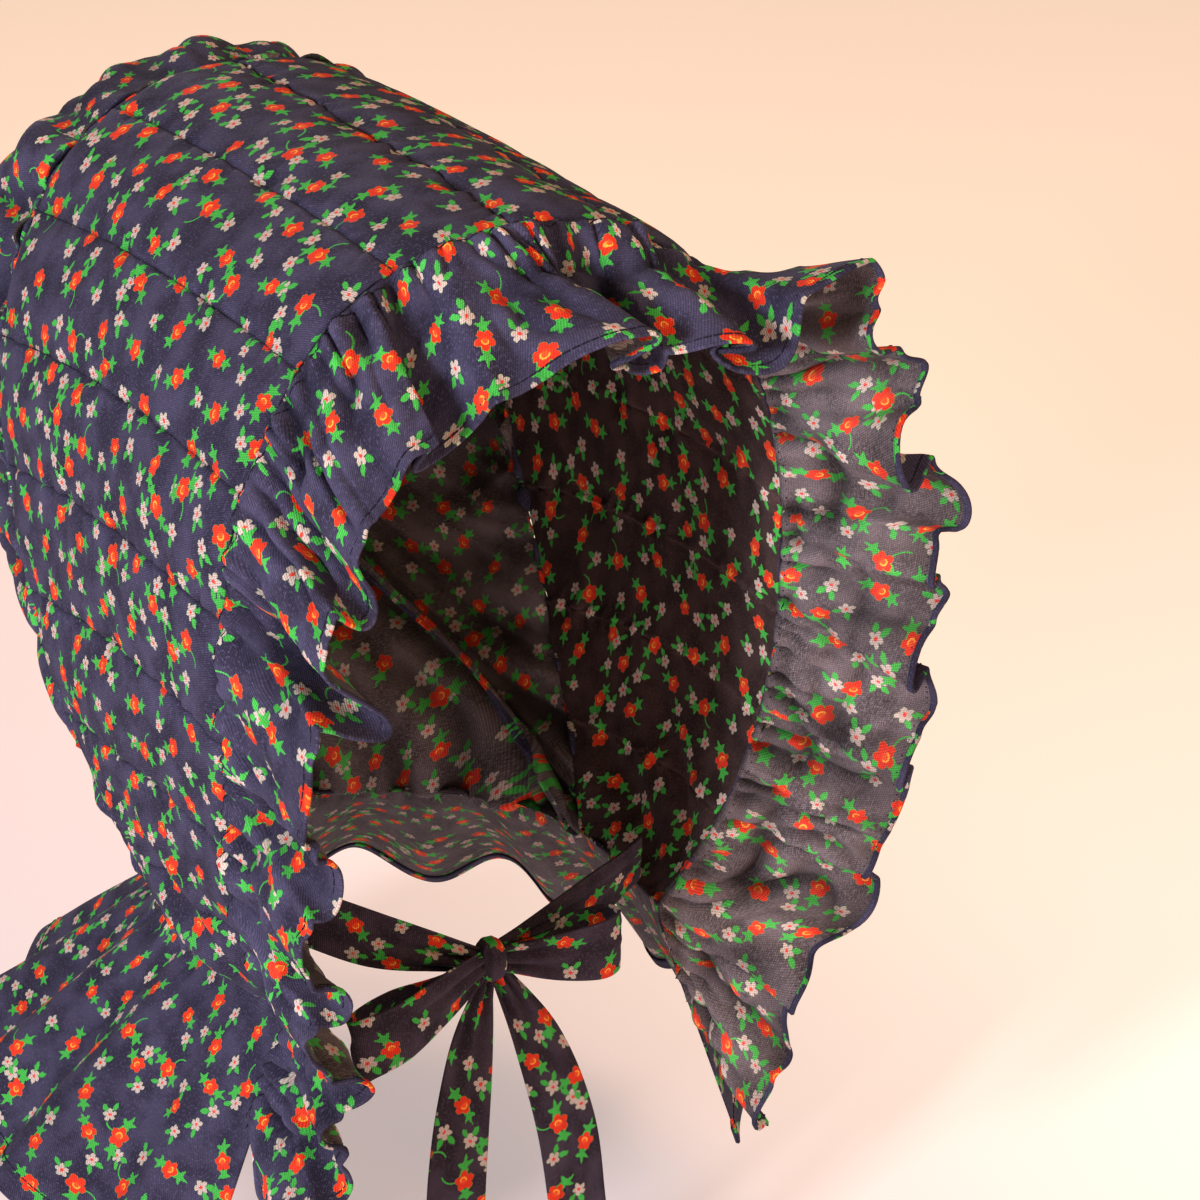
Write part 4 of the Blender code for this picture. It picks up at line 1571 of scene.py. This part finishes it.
@dataclass
class NeckCurtain:
    """The gathered curtain that hangs from the neckline."""

    crown: Crown
    shape: BrimShape = BrimShape()
    strip: GatheredStrip = GatheredStrip(
        "curtain_gathered", "curtain_thread", "neck_curtain", Slot.CURTAIN, wall=0.7,
        depth=112.0, middle=(0.0, -40.0, -330.0), hem_steps=5, hem_gap=0.95,
        rests_on=("brim_quilted", "crown_gathered"))
    stitched: tuple[int, ...] = (-6,)
    columns: int = 560
    rows: int = 64
    coarse: int = 88
    folds: int = 11
    fold_height: float = 6.5
    swing: float = 82.0
    flare: float = 20.0
    nape_flare: float = 30.0
    above_seam: float = 1.2
    below_seam: float = -2.2
    seam_share: float = 0.05
    pleat: float = 1.0
    pleat_pitch: float = 2.6
    gather: float = 1.5
    gather_pitch: float = 6.0
    flutter: float = 1.3
    flutter_pitch: float = 9.0

    def neckline(self, count: int) -> Points:
        """Follow the brim's lower edges and the crown's nape.

        Args:
            count: Steps along the line.

        Returns:
            The neckline, from the right front corner round the nape to the left one.
        """
        places = np.linspace(0.0, 1.0, 9)
        sweep = np.array([self.shape.section(place, self.shape.samples)[-1] for place in places])
        half = np.vstack([sweep[:-1], np.array(self.crown.nape_half)])
        line = np.vstack([half * MIRROR, half[-2::-1]])
        return even_line(smooth_line(line, np.linspace(0.0, 1.0, self.shape.samples)), count)

    def build(self, finishes: Finishes) -> list[bpy.types.Object]:
        """Build the curtain with its gathers, its hem and its stitching.

        Args:
            finishes: The bonnet's finishes.

        Returns:
            The finished pieces.
        """
        line = self.neckline(self.coarse)
        top = smooth_line(line, np.linspace(0.0, 1.0, self.columns + 1))
        places = np.linspace(-1.0, 1.0, self.columns + 1)
        swing = np.radians(self.swing) * np.sign(places) * np.abs(places) ** 0.8
        outward = np.stack([np.sin(swing), np.cos(swing), np.zeros_like(swing)], axis=1)
        edge_hold = np.abs(places) ** 8.0
        top[:, 1] += 0.6 * edge_hold
        nape = 1.0 - np.abs(places) ** 3.0
        angle = np.radians(self.flare + self.nape_flare * nape)[:, None]
        reach = outward * np.sin(angle) - UP * np.cos(angle)
        across = outward * np.cos(angle) + UP * np.sin(angle)
        wave = np.cos(math.pi * self.folds * places) * (1.0 - edge_hold)
        travel = lengths_along(top)
        rows, relief = [], []
        for share in np.linspace(0.0, 1.0, self.rows + 1):
            rise = np.interp(share, [0.0, self.seam_share], [self.above_seam, self.below_seam])
            base = top + UP * rise + reach * self.strip.depth * share
            size = self.fold_height * share ** 0.8
            gather = self.pleat * math.exp(-share / 0.12) * crumple(
                travel / self.pleat_pitch, share * 2.0, 31.0)
            gather += self.gather * math.exp(-share / 0.4) * crumple(
                travel / self.gather_pitch, share * 3.0, 32.0)
            gather += self.flutter * share * crumple(
                travel / self.flutter_pitch, share * 3.0, 33.0)
            gather = gather * min(1.0, share / 0.03) * (1.0 - edge_hold)
            rows.append(base + across * (size * wave + gather)[:, None])
            relief.append(gather)
        return self.strip.make(np.array(rows), np.array(relief), self.stitched, finishes)


@dataclass(frozen=True)
class RibbonCut:
    """One length of a chin tie: its centre line with its width and lean at each station."""

    name: str
    node: str
    stations: tuple[tuple[float, float, float, float, float], ...]
    hanging: bool
    seed: float


@dataclass
class ChinTies:
    """The chin ties, their bow loops and their tails."""

    columns: tuple[str, ...] = ("x", "y", "z", "width", "lean")
    full_width: float = 21.0
    wall: float = 0.7
    behind: tuple[float, float, float] = (0.0, 0.0, -250.0)
    across_steps: int = 26
    step_length: float = 1.1
    samples: int = 200
    pleat: float = 2.4
    pleats: float = 2.5
    crease: float = 0.7
    crease_length: float = 18.0
    fine_crease: float = 0.35
    fine_crease_length: float = 30.0
    cuts: tuple[RibbonCut, ...] = (
        RibbonCut("tie_strap_right", "tie_right", (
            (-73.2, -87.2, -222.0, 21.0, -0.42),
            (-57.0, -95.5, -226.5, 21.0, -0.30),
            (-34.0, -104.0, -238.0, 18.5, -0.10),
            (-3.0, -110.4, -250.2, 8.0, 0.0)), False, 41.0),
        RibbonCut("tie_strap_left", "tie_left", (
            (65.3, -94.5, -239.0, 21.0, 0.62),
            (49.0, -100.0, -243.0, 19.0, 0.40),
            (28.0, -104.5, -247.0, 15.0, 0.15),
            (3.0, -109.6, -250.0, 8.0, 0.0)), False, 42.0),
        RibbonCut("bow_fold_right", "bow_loop_right", (
            (-3.0, -112.6, -250.6, 9.0, 0.0),
            (-20.0, -120.5, -253.0, 17.0, 0.0),
            (-38.0, -125.0, -258.0, 21.0, 0.0),
            (-52.0, -121.5, -263.0, 21.0, 0.0),
            (-50.0, -114.5, -264.0, 21.0, 0.0),
            (-36.0, -112.5, -260.0, 19.0, 0.0),
            (-20.0, -114.5, -255.0, 14.0, 0.0),
            (-3.0, -111.2, -250.6, 8.0, 0.0)), False, 43.0),
        RibbonCut("bow_fold_left", "bow_loop_left", (
            (3.0, -112.4, -250.3, 9.0, 0.0),
            (20.0, -121.0, -250.0, 17.0, 0.0),
            (34.0, -124.5, -250.0, 21.0, 0.0),
            (42.5, -120.5, -250.0, 21.0, 0.0),
            (40.0, -114.5, -250.0, 21.0, 0.0),
            (29.0, -112.0, -250.0, 18.0, 0.0),
            (18.0, -114.0, -250.0, 13.0, 0.0),
            (3.0, -110.9, -250.3, 8.0, 0.0)), False, 44.0),
        RibbonCut("tie_end_right", "tie_tail_right", (
            (-2.0, -111.5, -254.0, 6.0, 0.0),
            (-12.0, -118.0, -281.0, 17.0, 0.0),
            (-19.0, -122.0, -318.0, 21.0, 0.0),
            (-20.0, -121.0, -355.0, 21.0, 0.0),
            (-24.0, -124.0, -392.0, 21.0, 0.0)), True, 45.0),
        RibbonCut("tie_end_left", "tie_tail_left", (
            (2.0, -111.5, -254.0, 6.0, 0.0),
            (13.0, -118.0, -280.0, 17.0, 0.0),
            (22.0, -121.0, -314.0, 21.0, 0.0),
            (25.0, -124.0, -350.0, 21.0, 0.0),
            (31.0, -122.0, -384.0, 21.0, 0.0)), True, 46.0),
    )

    def ribbon(self, cut: RibbonCut) -> tuple[Points, Points]:
        """Lay one length of tie along its stations.

        Args:
            cut: The length of tie.

        Returns:
            Its grid of points and flat cloth coordinates.
        """
        stations = np.array(cut.stations)
        rough = smooth_line(stations, np.linspace(0.0, 1.0, self.samples))
        along = int(lengths_along(rough[:, :3])[-1] / self.step_length)
        line = smooth_line(stations, np.linspace(0.0, 1.0, along + 1))
        centre = line[:, :3]
        column = dict(zip(self.columns, line.T))
        width, lean = column["width"][:, None], column["lean"][:, None]
        tangent = unit(np.gradient(centre, axis=0))
        across = np.tile([1.0, 0.0, 0.0], (along + 1, 1)) if cut.hanging else UP + lean * [1.0, 0, 0]
        across = unit(across - tangent * np.sum(across * tangent, axis=1, keepdims=True))
        facing = unit(np.cross(tangent, across))
        travel = lengths_along(centre)[:, None]
        side = np.linspace(-0.5, 0.5, self.across_steps + 1)[None, :]
        tight = 1.0 - width / self.full_width
        crease = tight * self.pleat * np.cos(2.0 * math.pi * self.pleats * side + cut.seed)
        crease = crease + self.crease * (0.3 + tight) * crumple(
            side * 4.0, travel / self.crease_length, cut.seed)
        crease = crease + self.fine_crease * crumple(
            side * 9.0, travel / self.fine_crease_length, cut.seed + 0.5)
        grid = (centre[:, None] + across[:, None] * (width * side)[..., None]
                + facing[:, None] * crease[..., None])
        flat = np.stack([travel + 0.0 * side, self.full_width * side + 0.0 * travel], axis=-1)
        return grid, flat + np.array([cut.seed * 9.0, cut.seed * 5.0])

    def build(self, finishes: Finishes) -> list[bpy.types.Object]:
        """Build every length of tie.

        Args:
            finishes: The bonnet's finishes.

        Returns:
            The finished pieces.
        """
        pieces = []
        for cut in self.cuts:
            grid, flat = self.ribbon(cut)
            cloth = Cloth(cut.name, cut.node, Slot.TIE, self.wall, grid, flat,
                          np.array(self.behind), inner=Face.RIGHT)
            piece = cloth.make(finishes)
            pieces.append(piece)
        return pieces


@dataclass
class BowKnot:
    """The wrapped knot of the bow: a pleated cushion of cloth."""

    centre: tuple[float, float, float] = (0.0, -111.0, -250.0)
    size: tuple[float, float, float] = (9.0, 10.5, 14.5)
    squareness: float = 0.72
    pleats: int = 7
    pleat_depth: float = 0.05
    unevenness: float = 0.03
    turns: int = 72
    rings: int = 44
    print_span: tuple[float, float] = (0.018, 0.022)
    print_start: tuple[float, float] = (0.4, 0.2)

    def build(self, finishes: Finishes) -> list[bpy.types.Object]:
        """Build the knot.

        Args:
            finishes: The bonnet's finishes.

        Returns:
            The finished piece.
        """
        mesh = bmesh.new()
        bmesh.ops.create_uvsphere(mesh, u_segments=self.turns, v_segments=self.rings, radius=0.5)
        cloth = mesh.loops.layers.uv.new("cloth")
        size = np.array(self.size)
        for face in mesh.faces:
            face.smooth = True
            for loop in face.loops:
                spot = (loop.vert.co.x, loop.vert.co.z)
                loop[cloth].uv = [place * span + start for place, span, start in
                                  zip(spot, self.print_span, self.print_start)]
        for vert in mesh.verts:
            direction = np.array(vert.co) * 2.0
            squared = np.sign(direction) * np.abs(direction) ** self.squareness
            turn = math.atan2(direction[1], direction[0])
            pinch = 1.0 + self.pleat_depth * math.cos(self.pleats * turn)
            pinch += self.unevenness * float(crumple(turn * 3.0, direction[2] * 1.5, 51.0))
            place = squared * size * 0.5 * np.array([pinch, pinch, 1.0]) + np.array(self.centre)
            vert.co = (place - SEAT) * MM
        piece = stand_in(placed("bow_wrap", mesh, [finishes.right[Slot.TIE]]), "bow_knot")
        return [piece]


def direction(azimuth: float, elevation: float) -> Vector:
    """Point away from the bonnet, towards a light or the camera.

    Args:
        azimuth: Degrees round the bonnet, from 0 in front of its opening.
        elevation: Degrees above the level.

    Returns:
        A direction of length one.
    """
    turn, lift = math.radians(azimuth), math.radians(elevation)
    return Vector((math.sin(turn) * math.cos(lift), -math.cos(turn) * math.cos(lift),
                   math.sin(lift)))


@dataclass(frozen=True)
class StudioLight:
    """One soft light, aimed at the bonnet."""

    name: str
    azimuth: float
    elevation: float
    distance: float
    size: float
    watts: float
    colour: tuple[float, float, float]

    def make(self, aim: Vector) -> bpy.types.Object:
        """Hang the light.

        Args:
            aim: The point that it looks at.

        Returns:
            The light.
        """
        away = direction(self.azimuth, self.elevation)
        data = bpy.data.lights.new(self.name, "AREA")
        data.size = self.size
        data.energy = self.watts
        data.color = self.colour
        light = bpy.data.objects.new(self.name, data)
        bpy.context.scene.collection.objects.link(light)
        light.location = aim + away * self.distance
        light.rotation_euler = away.to_track_quat("Z", "Y").to_euler()
        return light


@dataclass
class Studio:
    """Floor, soft lights, soft surroundings and the camera."""

    azimuth: float = -30.0
    elevation: float = 24.0
    distance: float = 1.0
    target: tuple[float, float, float] = (0.0, -0.181, -0.08865)
    focal_pixels: float = 3500.0
    frame_pixels: float = 1200.0
    sensor: float = 36.0
    # Floor colours and glows graded from far to near and to one side: painted light.
    far_floor: Colour = (0.86, 0.72, 0.62, 1.0)
    near_floor: Colour = (0.90, 0.84, 0.78, 1.0)
    far_glow: Colour = (0.50, 0.40, 0.33, 1.0)
    near_glow: Colour = (0.54, 0.51, 0.49, 1.0)
    side_floor: Colour = (0.66, 0.56, 0.60, 1.0)
    side_glow: Colour = (0.41, 0.36, 0.36, 1.0)
    floor_reach: float = 6.0
    floor_drop: float = 0.012
    far_to_near: tuple[float, float] = (0.75, -0.15)
    middle_to_side: tuple[float, float] = (0.42, 0.0)
    sky: Colour = (1.0, 0.74, 0.54, 1.0)
    sky_strength: float = 0.34
    aim: tuple[float, float, float] = (0.0, -0.05, -0.12)
    lights: tuple[StudioLight, ...] = (
        StudioLight("key_light", -67.0, 17.0, 1.5, 0.28, 23.0, (1.0, 0.97, 1.0)),
        StudioLight("fill_light", 30.0, 46.0, 1.6, 0.5, 5.4, (1.0, 0.64, 0.38)),
        StudioLight("low_light", -8.0, 4.0, 1.2, 0.4, 2.7, (1.0, 0.62, 0.38)),
        StudioLight("back_light", 150.0, 62.0, 1.8, 1.0, 9.5, (1.0, 0.66, 0.40)),
    )

    def build(self) -> None:
        """Set up the studio."""
        self.floor()
        for light in self.lights:
            light.make(Vector(self.aim))
        world = bpy.data.worlds.new("studio")
        world.use_nodes = True
        sky = world.node_tree.nodes["Background"]
        sky.inputs["Color"].default_value = self.sky
        sky.inputs["Strength"].default_value = self.sky_strength
        bpy.context.scene.world = world
        bpy.context.scene.view_settings.view_transform = "Standard"
        self.camera()

    def floor(self) -> None:
        """Lay a pale floor below the bonnet."""
        mesh = bmesh.new()
        bmesh.ops.create_grid(mesh, x_segments=8, y_segments=8, size=self.floor_reach)
        low = CAD_BOX[0][2] - self.floor_drop
        bmesh.ops.translate(mesh, verts=mesh.verts, vec=(0.0, 0.0, low))
        placed("floor", mesh, [self.floor_painted_light()])

    def floor_painted_light(self) -> bpy.types.Material:
        """Make the floor's paper, its colour and glow graded softly across it as painted light.

        Returns:
            The material.
        """
        finish = bpy.data.materials.new("floor_painted_light")
        finish.use_nodes = True
        sheet = ShaderSheet(finish.node_tree)
        shader = finish.node_tree.nodes["Principled BSDF"]
        place = sheet.node("ShaderNodeTexCoord").outputs["Object"]
        x, y, _ = sheet.parts(place)
        near, side = sheet.step(y, *self.far_to_near), sheet.step(x, *self.middle_to_side)
        tone = sheet.blend(side, sheet.blend(near, self.far_floor, self.near_floor),
                           self.side_floor)
        grain = sheet.plus(sheet.times(sheet.noise(place, 3.0), -0.03), 1.0)
        sheet.feed(shader.inputs["Base Color"], sheet.scaled(tone, grain))
        # The floor glows, brighter in front of the bonnet, darker far off and to the side: painted
        # light.
        glow = sheet.blend(near, self.far_glow, self.near_glow)
        sheet.feed(shader.inputs["Emission Color"], sheet.blend(side, glow, self.side_glow))
        shader.inputs["Roughness"].default_value = 0.9
        shader.inputs["Emission Strength"].default_value = 1.0
        return finish

    def camera(self) -> None:
        """Place the camera at the photograph's viewing angle."""
        back = direction(self.azimuth, self.elevation)
        right = direction(self.azimuth + 90.0, 0.0)
        upward = back.cross(right)
        data = bpy.data.cameras.new("camera")
        data.sensor_width = self.sensor
        data.lens = self.focal_pixels / self.frame_pixels * self.sensor
        data.clip_start = 0.05
        camera = bpy.data.objects.new("camera", data)
        bpy.context.scene.collection.objects.link(camera)
        place = Matrix((right, upward, back)).transposed().to_4x4()
        place.translation = Vector(self.target) + back * self.distance
        camera.matrix_world = place
        bpy.context.scene.camera = camera


def main() -> None:
    """Build the bonnet's pieces in order, then its studio."""
    logging.basicConfig(level=logging.INFO, format="%(message)s")
    finishes = Finishes.make()
    crown = Crown()
    for part in (Brim(), Ruffle(), crown, NeckCurtain(crown), ChinTies(), BowKnot()):
        for piece in part.build(finishes):
            LOG.info("%s: %d faces", piece.name, len(piece.data.polygons))
    Studio().build()


if __name__ == "__main__":
    main()
